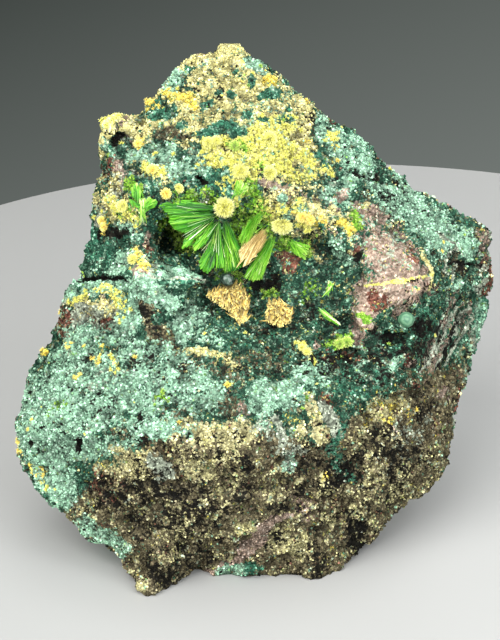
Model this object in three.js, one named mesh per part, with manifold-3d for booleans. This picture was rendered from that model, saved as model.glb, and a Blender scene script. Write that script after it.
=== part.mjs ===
// A hand specimen of copper and uranium ore: a broken lump of dark rock with a green crust, a recess
// across its upper half, and the crystals that grew there as fans, sprays, brushes and small balls.
// Millimetres, +Z up. The specimen stands on the flat broken face under it, at z = 0, and its face
// looks along -Y.
import * as THREE from 'three';
import { ConvexGeometry } from 'three/addons/geometries/ConvexGeometry.js';
import { mergeVertices } from 'three/addons/utils/BufferGeometryUtils.js';
import Module from 'manifold-3d';

const wasm = await Module();
wasm.setup();
const { Manifold, Mesh: SolidMesh } = wasm;

// Driving dimensions, in millimetres and degrees.
const EYE_DISTANCE = 250; // the face is set out as it is seen from an eye this far from its middle
const EYE_ELEVATION = 22;
const FACE_HEIGHT = 28.5; // height of the middle of the face above the base
const ROCK_RINGS = 17; // rings of points from the middle of the face to its rim
const PLATE_SHARPNESS = 6; // how abruptly one broken plate of the rock steps to the next
const ROUGHNESS = 0.5; // height of the small chips all over the rock
const CRYSTAL_GAP = 0.3; // left between a crystal and what it grows on

const tilt = THREE.MathUtils.degToRad(EYE_ELEVATION);

// The face is measured across and up from its middle, as seen from the eye, and behind it, away from
// the eye. This turns those three lengths into a point of the specimen.
function facePoint(across, up, behind) {
  const spread = 1 + behind / EYE_DISTANCE;
  return new THREE.Vector3(
    across * spread,
    behind * Math.cos(tilt) + up * spread * Math.sin(tilt),
    FACE_HEIGHT - behind * Math.sin(tilt) + up * spread * Math.cos(tilt),
  );
}

// How far behind the face plane a place on it meets the ground.
function groundBehind(up) {
  return (FACE_HEIGHT + up * Math.cos(tilt)) / (Math.sin(tilt) - (up * Math.cos(tilt)) / EYE_DISTANCE);
}

// The rim of the rock, clockwise from its peak: across, up, and behind the face plane. The foot of
// the rock has no third length, because it stands on the ground.
const TOE = 0.8; // the foot is drawn this far in front of the ground line, and the base cut trims it
const RIM = [
  [-2, 34.5, 5], [-0.75, 33.75, 5], [1.5, 32.5, 5], [3, 31, 5], [5, 29.75, 5], [6.25, 28.25, 5.5],
  [7.5, 26.75, 6], [9, 26, 6], [12.5, 23.75, 6.5], [15, 21.5, 7], [17.5, 19, 7.5], [19.75, 17, 8],
  [20.5, 16, 8], [22.75, 15, 8.5], [24.75, 13.75, 9], [26, 13, 9.5], [28, 12.25, 10], [30, 11.5, 10],
  [30.25, 10.5, 10.5], [29.5, 9.5, 10.5], [30, 6.5, 11], [30.5, 5.5, 11], [30, 4, 11], [28.75, 2.75, 11],
  [29.5, 2, 11], [29.5, 1, 11], [28.75, -0.75, 10.5], [28.5, -3.5, 10], [27, -7, 9], [26.5, -10, 8.5],
  [25.75, -12, 8], [25.5, -14, 7.5], [24.5, -17, 7], [23.5, -19, 6.5], [22, -20.75, 6], [19.5, -22.5, 5],
  [18, -24.5, 4], [17.5, -25.75, 3.5], [16.75, -26.75, 3], [15.5, -27.25, 3], [13.5, -28.5, 2],
  [12, -29.75], [10.5, -31.25], [9, -32.75], [7, -31.75], [4.75, -31.5], [2.75, -31.5], [0.25, -32],
  [-2.5, -31.5], [-4.5, -31.75], [-6.5, -30.75], [-8.5, -32], [-10.5, -33], [-12, -33.75],
  [-13, -34.25], [-14, -33.75], [-14.5, -32.25, -4.5], [-14.75, -31.5, -4.5], [-16.5, -29.75, -4.5],
  [-18, -29, -4], [-18.75, -27.75, -4], [-20.25, -27.25, -3.5], [-21.5, -26, -3.5], [-22.25, -24.5, -3],
  [-23.75, -24, -3], [-25.5, -22, -2], [-27, -20.5, -1.5], [-29.25, -16, -0.5], [-30, -14, 0],
  [-29.25, -12, 0.5], [-28.25, -9.25, 1], [-27.5, -7, 1.5], [-26.5, -4.75, 1.5], [-25.5, -3.5, 1],
  [-24.75, -3, 0.5], [-24.25, 0, 1], [-23.5, 3.5, 1], [-22.25, 4.75, 1.5], [-21.25, 5.5, 2],
  [-21, 7.25, 2.5], [-20, 11, 3], [-19.75, 14.5, 3], [-19.75, 16, 3], [-19, 18.25, 3.5],
  [-18.5, 19.25, 3.5], [-19.25, 21, 2], [-19.5, 22.75, 1.5], [-18.5, 24, 1.5], [-17.25, 25.5, 2],
  [-16.75, 26.25, 2.5], [-14.75, 25.5, 3.5], [-13.5, 26, 4], [-12, 27.25, 4], [-10.5, 28.5, 4],
  [-9.25, 30.25, 4.5], [-8.5, 31.5, 4.5], [-7, 33, 5], [-5.5, 33.75, 5], [-3.5, 34, 5],
].map(([across, up, behind]) => new THREE.Vector3(across, up, behind ?? groundBehind(up) - TOE));
const MIDDLE = new THREE.Vector2(0, -1);

// The broken plates of the face and of the back: where each one's middle is, how wide it reaches, how
// far behind the face plane it lies, and how it falls away to the right and upwards, in mm per mm.
const FACE_PLATES = [
  { name: 'crest', across: -3, up: 30, reach: 6, behind: 1.5, right: 0, rise: 0.45 },
  { name: 'left shoulder', across: -11, up: 24, reach: 5, behind: -0.5, right: -0.25, rise: 0.35 },
  { name: 'right shoulder', across: 9, up: 21, reach: 6, behind: 0.5, right: 0.3, rise: 0.4 },
  { name: 'left horn', across: -17.5, up: 23.5, reach: 2, behind: -3, right: -0.7, rise: 0.1 },
  { name: 'brow', across: -1, up: 19.5, reach: 5, behind: -3.8, right: 0.05, rise: 0.3 },
  { name: 'left cheek', across: -15, up: 16, reach: 4, behind: -3, right: -0.45, rise: 0.2 },
  { name: 'right brow', across: 13, up: 13, reach: 4.5, behind: -2.5, right: 0.2, rise: 0.4 },
  { name: 'top right slope', across: 20, up: 12, reach: 5, behind: 0.5, right: 0.45, rise: 0.5 },
  { name: 'right corner', across: 26.5, up: 9, reach: 4, behind: 3.5, right: 0.6, rise: 0.3 },
  { name: 'right side', across: 28, up: 1, reach: 5, behind: 7, right: 1.3, rise: -0.1 },
  { name: 'recess, back wall', across: -1, up: 9.5, reach: 5, behind: -1.5, right: 0, rise: -0.1 },
  { name: 'recess, left hollow', across: -9.5, up: 9.5, reach: 2.4, behind: 2, right: 0, rise: 0 },
  { name: 'recess, right wall', across: 8.5, up: 6.5, reach: 4, behind: -1.5, right: -0.1, rise: 0.2 },
  { name: 'recess, floor', across: 1.5, up: 0.5, reach: 5, behind: -3.5, right: 0, rise: 0.6 },
  { name: 'left mid', across: -17, up: 9, reach: 3.5, behind: -3, right: -0.5, rise: 0.1 },
  { name: 'pale knob', across: -12, up: 4.5, reach: 3.6, behind: -7.5, right: -0.1, rise: 0.3 },
  { name: 'left lobe', across: -19.5, up: 1, reach: 4, behind: -4.5, right: -0.5, rise: 0.25 },
  { name: 'lower ledge', across: -3, up: -4, reach: 5.5, behind: -9, right: 0.1, rise: 0.75 },
  { name: 'carbonate ledge', across: 17.5, up: 4, reach: 4.5, behind: -2.5, right: 0.25, rise: 0.15 },
  { name: 'right ledge', across: 14, up: -5, reach: 5, behind: -5.5, right: 0.15, rise: 0.6 },
  { name: 'green slope, left', across: -19, up: -9, reach: 6, behind: -9, right: -0.55, rise: 0.45 },
  { name: 'green slope', across: -6, up: -10, reach: 6.5, behind: -12.5, right: -0.05, rise: 0.45 },
  { name: 'green slope, right', across: 8, up: -11, reach: 5, behind: -11.5, right: 0.2, rise: 0.4 },
  { name: 'right belly', across: 18, up: -13, reach: 5, behind: -5, right: 0.7, rise: 0.2 },
  { name: 'left underside', across: -21, up: -19, reach: 4.5, behind: -7, right: -0.5, rise: -0.2 },
  { name: 'dark underside', across: -8, up: -22, reach: 7, behind: -10.5, right: -0.05, rise: -0.65 },
  { name: 'left foot', across: -13, up: -29, reach: 3, behind: -8.5, right: -0.2, rise: -0.4 },
  { name: 'dark underside, right', across: 9, up: -21, reach: 6, behind: -8, right: 0.4, rise: -0.5 },
  { name: 'right foot', across: 8.5, up: -29, reach: 3.5, behind: -4.5, right: 0.3, rise: -0.6 },
];
const BACK_PLATES = [
  { name: 'back of the crest', across: -2, up: 22, reach: 6, behind: 13.5, right: 0.05, rise: -0.5 },
  { name: 'upper left back', across: -12, up: 14, reach: 6, behind: 14, right: 0.4, rise: -0.1 },
  { name: 'upper right back', across: 11, up: 12, reach: 6, behind: 17, right: -0.1, rise: -0.4 },
  { name: 'middle of the back', across: 0, up: 1, reach: 6, behind: 20.5, right: 0.1, rise: -0.25 },
  { name: 'right of the back', across: 19, up: 0, reach: 6, behind: 19.5, right: -0.4, rise: -0.1 },
  { name: 'lower left back', across: -17, up: -8, reach: 6, behind: 15, right: 0.45, rise: 0.1 },
  { name: 'lower back', across: 3, up: -13, reach: 7, behind: 21, right: -0.05, rise: 0.15 },
  { name: 'lower right back', across: 15, up: -15, reach: 5, behind: 17.5, right: -0.4, rise: 0.2 },
  { name: 'heel', across: -3, up: -27, reach: 8, behind: 18, right: 0, rise: 0.35 },
];

// A plate's own distance behind the face plane, and the blend of all the plates at one place.
function plateBehind(plate, across, up) {
  return plate.behind + plate.right * (across - plate.across) + plate.rise * (up - plate.up);
}

function platesBehind(plates, across, up) {
  const distances = plates.map((plate) => Math.hypot(across - plate.across, up - plate.up) / plate.reach);
  const nearest = Math.min(...distances);
  const weights = distances.map((distance) => Math.exp((nearest - distance) * PLATE_SHARPNESS));
  const total = weights.reduce((sum, weight) => sum + weight, 0);
  return plates.reduce((sum, plate, i) => sum + (weights[i] * plateBehind(plate, across, up)) / total, 0);
}

// A repeatable number from 0 to 1 for a point of a lattice, and smooth noise between lattice points.
function latticeValue(i, j, k) {
  const mixed = Math.sin(i * 127.1 + j * 311.7 + k * 74.7) * 43758.5453;
  return mixed - Math.floor(mixed);
}

function noise(across, up, layer) {
  const i = Math.floor(across);
  const j = Math.floor(up);
  const a = THREE.MathUtils.smoothstep(across - i, 0, 1);
  const b = THREE.MathUtils.smoothstep(up - j, 0, 1);
  const low = THREE.MathUtils.lerp(latticeValue(i, j, layer), latticeValue(i + 1, j, layer), a);
  const high = THREE.MathUtils.lerp(latticeValue(i, j + 1, layer), latticeValue(i + 1, j + 1, layer), a);
  return 2 * THREE.MathUtils.lerp(low, high, b) - 1;
}

// Chips of two sizes all over the rock.
const CHIP_SIZE = 3.4;
const FINE_CHIP_SIZE = 1.5;
const BACK_CHIPPING = 2; // the back is broken this much more roughly than the face
function chips(across, up, layer) {
  const coarse = noise(across / CHIP_SIZE, up / CHIP_SIZE, layer);
  const fine = noise(across / FINE_CHIP_SIZE, up / FINE_CHIP_SIZE, layer + 1);
  return ROUGHNESS * (coarse + 0.6 * fine);
}

const faceBehind = (across, up) => platesBehind(FACE_PLATES, across, up) + chips(across, up, 1);
const backBehind = (across, up) => platesBehind(BACK_PLATES, across, up) + BACK_CHIPPING * chips(across, up, 5);

// The rim's point at a share of the way round it, from 0 to 1.
const rimLengths = RIM.map((point, i) => point.distanceTo(RIM[(i + 1) % RIM.length]));
const rimLength = rimLengths.reduce((sum, length) => sum + length, 0);
function rimPoint(share) {
  let left = share * rimLength;
  let i = 0;
  while (left > rimLengths[i] && i < RIM.length - 1) {
    left -= rimLengths[i];
    i += 1;
  }
  return RIM[i].clone().lerp(RIM[(i + 1) % RIM.length], left / rimLengths[i]);
}

// One side of the rock as rings of points from its middle to the rim: ring k has 6k points.
function ringPoints(behindAt, rimShare) {
  const points = [facePoint(MIDDLE.x, MIDDLE.y, behindAt(MIDDLE.x, MIDDLE.y))];
  for (let ring = 1; ring <= ROCK_RINGS; ring += 1) {
    const reach = ring / ROCK_RINGS;
    for (let i = 0; i < 6 * ring; i += 1) {
      const rim = rimPoint(i / (6 * ring));
      const across = THREE.MathUtils.lerp(MIDDLE.x, rim.x, reach);
      const up = THREE.MathUtils.lerp(MIDDLE.y, rim.y, reach);
      const behind = THREE.MathUtils.lerp(behindAt(across, up), rim.z, rimShare(reach));
      points.push(facePoint(across, up, behind));
    }
  }
  return points;
}

// The triangles between those rings, as places in the list of points.
function ringTriangles() {
  const triangles = [];
  const place = (ring, i) => (ring === 0 ? 0 : 1 + 3 * ring * (ring - 1) + (i % (6 * ring)));
  for (let ring = 0; ring < ROCK_RINGS; ring += 1) {
    for (let sector = 0; sector < 6; sector += 1) {
      for (let step = 0; step <= ring; step += 1) {
        const inner = place(ring, sector * ring + step);
        const outer = sector * (ring + 1) + step;
        triangles.push([inner, place(ring + 1, outer), place(ring + 1, outer + 1)]);
        if (step < ring) {
          const innerNext = place(ring, sector * ring + step + 1);
          triangles.push([inner, place(ring + 1, outer + 1), innerNext]);
        }
      }
    }
  }
  return triangles;
}

function solidFrom(geometry) {
  const bare = geometry.clone();
  bare.deleteAttribute('normal');
  bare.deleteAttribute('uv');
  const merged = mergeVertices(bare, 1e-4);
  const vertProperties = new Float32Array(merged.getAttribute('position').array);
  const triVerts = new Uint32Array(merged.index.array);
  return new Manifold(new SolidMesh({ numProp: 3, vertProperties, triVerts }));
}

function geometryFrom(solid) {
  const mesh = solid.getMesh();
  const geometry = new THREE.BufferGeometry();
  geometry.setAttribute('position', new THREE.BufferAttribute(mesh.vertProperties, 3));
  geometry.setIndex(new THREE.BufferAttribute(mesh.triVerts, 1));
  return geometry;
}

// The flat-faced solid that spans a few points, as a crystal or a cleaved block has it.
const spanning = (points) => solidFrom(new ConvexGeometry(points));
const joined = (solids) => solids.reduce((sum, solid) => sum.add(solid));

// The lump of rock: its face and its back share the rim.
const faceRimShare = (reach) => reach ** 14;
const backRimShare = (reach) => 1 - (1 - reach ** 4) ** 0.5;
function rockLump() {
  const face = ringPoints(faceBehind, faceRimShare);
  const back = ringPoints(backBehind, backRimShare);
  const points = [...face, ...back].flatMap((point) => point.toArray());
  const triangles = ringTriangles();
  const indices = [
    ...triangles.flatMap(([a, b, c]) => [a, c, b]),
    ...triangles.flatMap(([a, b, c]) => [a + face.length, b + face.length, c + face.length]),
  ];
  const geometry = new THREE.BufferGeometry();
  geometry.setAttribute('position', new THREE.Float32BufferAttribute(points, 3));
  geometry.setIndex(indices);
  return solidFrom(geometry);
}

// Where a place lies between the middle of the face, 0, and the rim, 1, and how far behind the rim is
// on that line.
function rimBeyond(across, up) {
  const ray = new THREE.Vector2(across - MIDDLE.x, up - MIDDLE.y);
  for (let i = 0; i < RIM.length; i += 1) {
    const start = RIM[i];
    const end = RIM[(i + 1) % RIM.length];
    const edge = new THREE.Vector2(end.x - start.x, end.y - start.y);
    const offset = new THREE.Vector2(start.x - MIDDLE.x, start.y - MIDDLE.y);
    const cross = ray.cross(edge);
    const share = offset.cross(ray) / cross;
    const length = offset.cross(edge) / cross;
    if (share >= 0 && share <= 1 && length > 0) {
      return { reach: Math.min(1, 1 / length), behind: THREE.MathUtils.lerp(start.z, end.z, share) };
    }
  }
  return { reach: 0, behind: 0 };
}

// A point of the rock's face, or raised off it towards the eye, and the way that the rock faces there.
function onRock(across, up, raised = 0) {
  const rim = rimBeyond(across, up);
  const behind = THREE.MathUtils.lerp(faceBehind(across, up), rim.behind, faceRimShare(rim.reach));
  return facePoint(across, up, behind - raised);
}

const NORMAL_STEP = 1;
function rockNormal(across, up) {
  const right = onRock(across + NORMAL_STEP, up).sub(onRock(across - NORMAL_STEP, up));
  const rise = onRock(across, up + NORMAL_STEP).sub(onRock(across, up - NORMAL_STEP));
  return right.cross(rise).normalize();
}

// A rounded, chipped lump about a point: stretched to three radii, across, along +Y and up.
function chippedLump(centre, radii, chipping = 0.12) {
  const geometry = new THREE.IcosahedronGeometry(1, 1);
  geometry.deleteAttribute('normal');
  geometry.deleteAttribute('uv');
  const merged = mergeVertices(geometry, 1e-4);
  const position = merged.getAttribute('position');
  const point = new THREE.Vector3();
  for (let i = 0; i < position.count; i += 1) {
    point.fromBufferAttribute(position, i);
    point.multiplyScalar(1 + chipping * (2 * latticeValue(i, centre.x, centre.z) - 1));
    point.multiply(new THREE.Vector3(...radii)).add(centre);
    position.setXYZ(i, point.x, point.y, point.z);
  }
  return solidFrom(merged);
}

// What stands out of the face and what goes into it, beyond what its plates show.
const KNOBS = [
  { name: 'pale knob', across: -12.2, up: 5, raised: -0.4, radii: [2.6, 2.2, 2] },
  { name: 'shelf right of the knob', across: -8.6, up: 4.6, raised: -0.2, radii: [3, 1.8, 1.5] },
  { name: 'left horn', across: -17.6, up: 23.4, raised: 0.2, radii: [1.2, 1.4, 2] },
  { name: 'knob on the left lobe', across: -17.4, up: 2.2, raised: 0, radii: [2.3, 1, 1.4] },
  { name: 'small green ball', across: 4, up: 15.2, raised: 0.2, radii: [0.7, 0.7, 0.7] },
];
const PITS = [
  { name: 'hole behind the horn', across: -15.9, up: 22.6, raised: -0.3, radii: [1.2, 2, 0.7] },
  { name: 'hole in the left cheek', across: -6.4, up: 17, raised: -0.3, radii: [0.6, 1.8, 1.1] },
  { name: 'hole under the golden drop', across: -18.4, up: 10.3, raised: -0.2, radii: [0.9, 1.8, 1.1] },
  { name: 'hollow left of the fan', across: -9.6, up: 9.8, raised: -0.6, radii: [2.4, 2.6, 1.5] },
  { name: 'hole under the lime tuft', across: 12.5, up: -4.3, raised: -0.2, radii: [1.5, 1.8, 0.8] },
  { name: 'slot under the carbonate', across: 18.2, up: -2, raised: -0.2, radii: [2.2, 1.8, 0.6] },
];
const CRACK = { across: -19, up: 5.1, width: 6.5, depth: 3, height: 0.5, slope: 3 };

// The blocks of carbonate and the garnet-red grain that the rock holds: their outline on the face, and
// how far their cleaved front stands proud of it.
const BLOCKS = [
  {
    name: 'carbonate, upper block',
    proud: 1.3,
    outline: [[16.7, 11.3], [15, 10.3], [14.3, 8], [13.9, 5.8], [14.2, 3.5], [16.5, 1.8], [19, 1],
      [20.8, 1.3], [22, 3.4], [22.3, 5.8], [21.4, 7.8], [19.6, 9.6]],
  },
  {
    name: 'carbonate, lower block',
    proud: 1.1,
    outline: [[14.4, 4], [12.8, 2.8], [12.2, 0.8], [13, -1.2], [14.2, -2.7], [16.6, -1.3], [18, 1], [17, 3]],
  },
  { name: 'red-brown grain', proud: 0.5, outline: [[3.9, 8], [5.2, 8], [6, 6.4], [5.2, 5.8], [3.7, 6]] },
];
const BLOCK_ROOT = 1.5; // how deep a block goes into the rock
const BLOCK_FRONT = 0.72; // size of its front against its outline
function block({ outline, proud }) {
  const middle = new THREE.Vector2();
  outline.forEach(([across, up]) => middle.add(new THREE.Vector2(across, up)));
  middle.divideScalar(outline.length);
  const front = outline.map(([across, up]) => new THREE.Vector2(across, up).lerp(middle, 1 - BLOCK_FRONT));
  return spanning([
    ...outline.map(([across, up]) => onRock(across, up, -BLOCK_ROOT)),
    ...outline.map(([across, up]) => onRock(across, up, 0)),
    ...front.map(({ x, y }) => onRock(x, y, proud)),
  ]);
}

const GROUND = { width: 200, depth: 40 };
function makeRock() {
  let rock = joined([
    rockLump(),
    ...BLOCKS.map(block),
    ...KNOBS.map(({ across, up, raised, radii }) => chippedLump(onRock(across, up, raised), radii)),
  ]);
  for (const { across, up, raised, radii } of PITS) {
    rock = rock.subtract(chippedLump(onRock(across, up, raised), radii));
  }
  const slit = new THREE.BoxGeometry(CRACK.width, 2 * CRACK.depth, CRACK.height);
  slit.rotateX(-tilt).rotateY(THREE.MathUtils.degToRad(CRACK.slope));
  slit.translate(...onRock(CRACK.across, CRACK.up).toArray());
  rock = rock.subtract(solidFrom(slit));
  const ground = new THREE.BoxGeometry(GROUND.width, GROUND.width, GROUND.depth);
  ground.translate(0, 0, -GROUND.depth / 2);
  return rock.subtract(solidFrom(ground));
}

const specimen = new THREE.Group();

function finish(color, roughness) {
  return new THREE.MeshStandardMaterial({ color, roughness, metalness: 0, flatShading: true });
}

const rockFinish = finish('#6f9a80', 0.9);
const leafGreen = finish('#3f9a1e', 0.45);
const limeGreen = finish('#8fc23a', 0.5);
const lemon = finish('#e8d95a', 0.7);
const gold = finish('#e0b030', 0.7);
const tan = finish('#d2ab62', 0.7);
const darkGreen = finish('#1d3a2c', 0.25);
const paleGreen = finish('#7fc09c', 0.5);

// A later piece is trimmed by the ones before it, and by the same solids moved each way by the gap,
// so that no two touch. What is left of it in one body is kept.
const AXES = [[1, 0, 0], [0, 1, 0], [0, 0, 1]];
const GAP_WAYS = AXES.flatMap((axis) => [CRYSTAL_GAP, -CRYSTAL_GAP].map((gap) => axis.map((x) => x * gap)));
const placed = [];

function boxesMeet(a, b) {
  return [0, 1, 2].every((i) => a.min[i] < b.max[i] + CRYSTAL_GAP && b.min[i] < a.max[i] + CRYSTAL_GAP);
}

function addPiece(name, solid, material) {
  const box = solid.boundingBox();
  const near = placed.filter((other) => boxesMeet(box, other.boundingBox()));
  const cutters = near.flatMap((other) => [other, ...GAP_WAYS.map((way) => other.translate(way))]);
  const left = cutters.reduce((rest, cutter) => rest.subtract(cutter), solid);
  const [biggest] = left.decompose().sort((a, b) => b.volume() - a.volume());
  placed.push(biggest);
  const mesh = new THREE.Mesh(geometryFrom(biggest), material);
  mesh.name = name;
  specimen.add(mesh);
}

// A flat, pointed crystal from its root to its tip, widest at its shoulder.
const toEye = new THREE.Vector3(0, -Math.cos(tilt), Math.sin(tilt));
function blade(root, tip, { width, thickness, rootShare = 0.35, shoulder = 0.72, facing = toEye }) {
  const along = tip.clone().sub(root);
  const side = along.clone().cross(facing).normalize().multiplyScalar(width / 2);
  const out = side.clone().cross(along).normalize().multiplyScalar(thickness / 2);
  const section = (share, size) => [side, out].flatMap((way) => [size, -size].map(
    (half) => root.clone().addScaledVector(along, share).addScaledVector(way, half),
  ));
  return spanning([...section(0, rootShare), ...section(shoulder, 1), tip]);
}

// A fan of blades that cross near one root. Each tip is across, up, and behind the face plane.
const ROOT_SCATTER = 0.25;
function fan({ root, tips, ...shape }) {
  return joined(tips.map((tip, i) => {
    const scatter = [1, 2, 3].map((axis) => ROOT_SCATTER * (latticeValue(i, axis, root[0]) - 0.5));
    const start = facePoint(...root).add(new THREE.Vector3(...scatter));
    return blade(start, facePoint(...tip), shape);
  }));
}

const FANS = [
  {
    name: 'green_fan_left',
    material: leafGreen,
    root: [-3.4, 13.6, -5],
    width: 1.5,
    thickness: 0.5,
    tips: [
      [-9.2, 15.2, -4.4], [-10.6, 15.1, -4.6], [-11.5, 14, -4.8], [-10.8, 12.9, -4.4], [-10, 11.8, -4],
      [-8.6, 10.9, -3.6], [-8.5, 8.8, -3.4], [-7, 8.4, -3.6], [-6.4, 7, -3.6], [-5.5, 5.7, -4],
      [-5, 7.8, -4.2], [-3.9, 5.8, -4.2], [-3, 5.9, -4.4], [-2, 7, -4.2],
    ],
  },
  {
    name: 'green_fan_right',
    material: limeGreen,
    root: [4, 11.1, -4.4],
    width: 1,
    thickness: 0.45,
    tips: [[-0.4, 4.8, -3.6], [0.4, 4.9, -3.8], [1.2, 4.8, -4], [1.9, 6.4, -3.8], [-0.9, 8.9, -3.6],
      [2.6, 7.6, -3.6]],
  },
  {
    name: 'tan_fan',
    material: tan,
    root: [2.2, 11.3, -5.6],
    width: 0.9,
    thickness: 0.4,
    tips: [[-1.8, 6.5, -5], [-1.2, 6.9, -5.2], [-0.6, 6.7, -5.2], [0.1, 7.6, -5.2]],
  },
  {
    name: 'green_sprig',
    material: leafGreen,
    root: [-13, 12, -4.4],
    width: 1.1,
    thickness: 0.45,
    tips: [[-14.6, 16.4, -4.6], [-13.7, 16.3, -5], [-12.1, 15.2, -5.2], [-14.6, 14.6, -4.6]],
  },
  {
    name: 'lime_stem',
    material: limeGreen,
    root: [-2, 15.4, -6.2],
    width: 0.7,
    thickness: 0.4,
    tips: [[-1.5, 17.5, -6.2], [-0.6, 17.1, -6.4], [0, 16.4, -6.4]],
  },
  {
    name: 'tan_brush_left',
    material: tan,
    root: [-1, 4.4, -4.2],
    width: 1.5,
    thickness: 0.7,
    rootShare: 0.6,
    tips: [[-5.7, 3.2, -5], [-4, 1.9, -6], [-2.6, 0.5, -6.8], [-1.1, -0.4, -7.2], [-0.2, 2.2, -5.8]],
  },
  {
    name: 'tan_brush_right',
    material: tan,
    root: [3.5, 1.9, -4.6],
    width: 1.2,
    thickness: 0.6,
    rootShare: 0.7,
    tips: [[1.9, 0.5, -5.8], [2.8, -0.9, -6.6], [4.1, -1, -6.7], [5, 0.2, -6], [3, 3, -5.2]],
  },
  {
    name: 'green_splinter',
    material: limeGreen,
    root: [8.6, 1.3, -4.6],
    width: 0.85,
    thickness: 0.5,
    rootShare: 0.5,
    shoulder: 0.92,
    tips: [[11.3, -0.5, -5.8]],
  },
  {
    name: 'green_leaf',
    material: limeGreen,
    root: [9.6, 3, -3.6],
    width: 0.7,
    thickness: 0.4,
    tips: [[9.9, 5, -3.6], [10.6, 4.4, -3.8]],
  },
];

// A tuft of needles about one or more middles: a rough core with spikes on it. A tuft on the rock
// has them on the side that faces out, and one that hangs clear, given by its depth, all round.
const GOLDEN_ANGLE = Math.PI * (3 - Math.sqrt(5));
const CORE_SHARE = 0.66;
const SPIKE_ROOT = 0.34;
function spikyBall(centre, outward, radius, spikes, spread) {
  const turn = new THREE.Quaternion().setFromUnitVectors(new THREE.Vector3(0, 0, 1), outward);
  const core = new THREE.IcosahedronGeometry(radius * CORE_SHARE, 0);
  core.translate(...centre.toArray());
  const solids = [solidFrom(core)];
  for (let i = 0; i < spikes; i += 1) {
    const height = 1 - (1 - Math.cos(spread)) * ((i + 0.5) / spikes);
    const around = i * GOLDEN_ANGLE;
    const width = Math.sqrt(1 - height ** 2);
    const way = new THREE.Vector3(width * Math.cos(around), width * Math.sin(around), height);
    way.applyQuaternion(turn);
    const length = radius * (0.86 + 0.14 * latticeValue(i, centre.x, centre.z));
    const tip = centre.clone().addScaledVector(way, length);
    const side = new THREE.Vector3(way.y, way.z, way.x).cross(way).normalize();
    const roots = [0, 1, 2].map((third) => side.clone()
      .applyAxisAngle(way, (third * 2 * Math.PI) / 3)
      .multiplyScalar(radius * SPIKE_ROOT)
      .addScaledVector(way, radius * 0.2)
      .add(centre));
    solids.push(spanning([...roots, tip]));
  }
  return joined(solids);
}

const TUFTS = [
  { name: 'yellow_ball', material: lemon, radius: 1.35, at: [[-3.1, 14]], behind: -6.9, spikes: 14 },
  { name: 'yellow_tuft_right', material: lemon, radius: 1.35, at: [[4.2, 11.4]], behind: -6, spikes: 12 },
  { name: 'yellow_tuft_upper', material: lemon, radius: 1.35, at: [[-1.2, 18.5]], spikes: 9 },
  { name: 'yellow_tuft_middle', material: lemon, radius: 1.2, at: [[2.4, 18.3]], spikes: 8 },
  { name: 'yellow_tuft_top_left', material: lemon, radius: 0.95, at: [[-5.2, 22.1], [-4.2, 22.3]], spikes: 6 },
  { name: 'lime_tuft_top', material: limeGreen, radius: 0.95, at: [[-1.9, 21.7]], spikes: 7 },
  { name: 'yellow_tuft_top_right', material: lemon, radius: 1.25, at: [[2.4, 22.6]], spikes: 8 },
  { name: 'golden_tufts_right', material: gold, radius: 1, at: [[6.5, 12.8], [7.5, 12.5]], spikes: 5 },
  { name: 'golden_ball_left', material: gold, radius: 0.9, at: [[-10.5, 15.8]], behind: -6.2, spikes: 8 },
  { name: 'cream_ball_left', material: lemon, radius: 0.8, at: [[-8.9, 16.4]], spikes: 7 },
  { name: 'golden_drop_left', material: gold, radius: 0.75, at: [[-18.5, 12.4], [-18.2, 11.6]], spikes: 5 },
  { name: 'yellow_tuft_left', material: lemon, radius: 0.9, at: [[-14.6, 7.6]], spikes: 6 },
  { name: 'golden_tuft_upper_left', material: gold, radius: 0.75, at: [[-14, 22]], spikes: 6 },
  { name: 'golden_tuft_cheek', material: gold, radius: 0.95, at: [[-12.2, 18.7]], spikes: 7 },
  { name: 'yellow_tuft_far_left', material: lemon, radius: 1, at: [[-15.9, 14.2]], spikes: 7 },
  { name: 'lime_tufts_right', material: limeGreen, radius: 0.95, at: [[11.2, -3], [12.1, -2.8]], spikes: 5 },
  { name: 'yellow_spray_low', material: lemon, radius: 0.7, at: [[6.5, -3.5], [7.1, -4]], spikes: 5 },
];
function tuftSolid({ at, behind, radius, spikes }) {
  return joined(at.map(([across, up]) => {
    const outward = behind === undefined ? rockNormal(across, up) : toEye;
    const spread = behind === undefined ? THREE.MathUtils.degToRad(100) : Math.PI;
    const centre = behind === undefined ? onRock(across, up, 0.35 * radius) : facePoint(across, up, behind);
    return spikyBall(centre, outward, radius, spikes, spread);
  }));
}

// Small balls of concentric shells, seen as many-faced beads.
const BALLS = [
  { name: 'dark_ball', material: darkGreen, radius: 1, at: [-2.8, 5], behind: -5.8 },
  { name: 'malachite_ball', material: paleGreen, radius: 1, at: [19.5, 0.1] },
];
function ballSolid({ at: [across, up], behind, radius }) {
  const centre = behind === undefined ? onRock(across, up, 0.8 * radius) : facePoint(across, up, behind);
  return chippedLump(centre, [radius, radius, radius], 0.04);
}

addPiece('rock_matrix', makeRock(), rockFinish);
FANS.forEach(({ name, material, ...shape }) => addPiece(name, fan(shape), material));
BALLS.forEach((ball) => addPiece(ball.name, ballSolid(ball), ball.material));
TUFTS.forEach((entry) => addPiece(entry.name, tuftSolid(entry), entry.material));

export default specimen;
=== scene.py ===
# The looks of a hand specimen of copper and uranium ore: a broken lump with a green crust, a dark ore
# below it, and in the recess of its face the fans, tufts and brushes of needle crystals.
# Lengths are in millimetres until a mesh is made, which is in metres.
import math

import bmesh
import bpy
import numpy as np
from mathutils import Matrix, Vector
from mathutils.bvhtree import BVHTree


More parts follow.
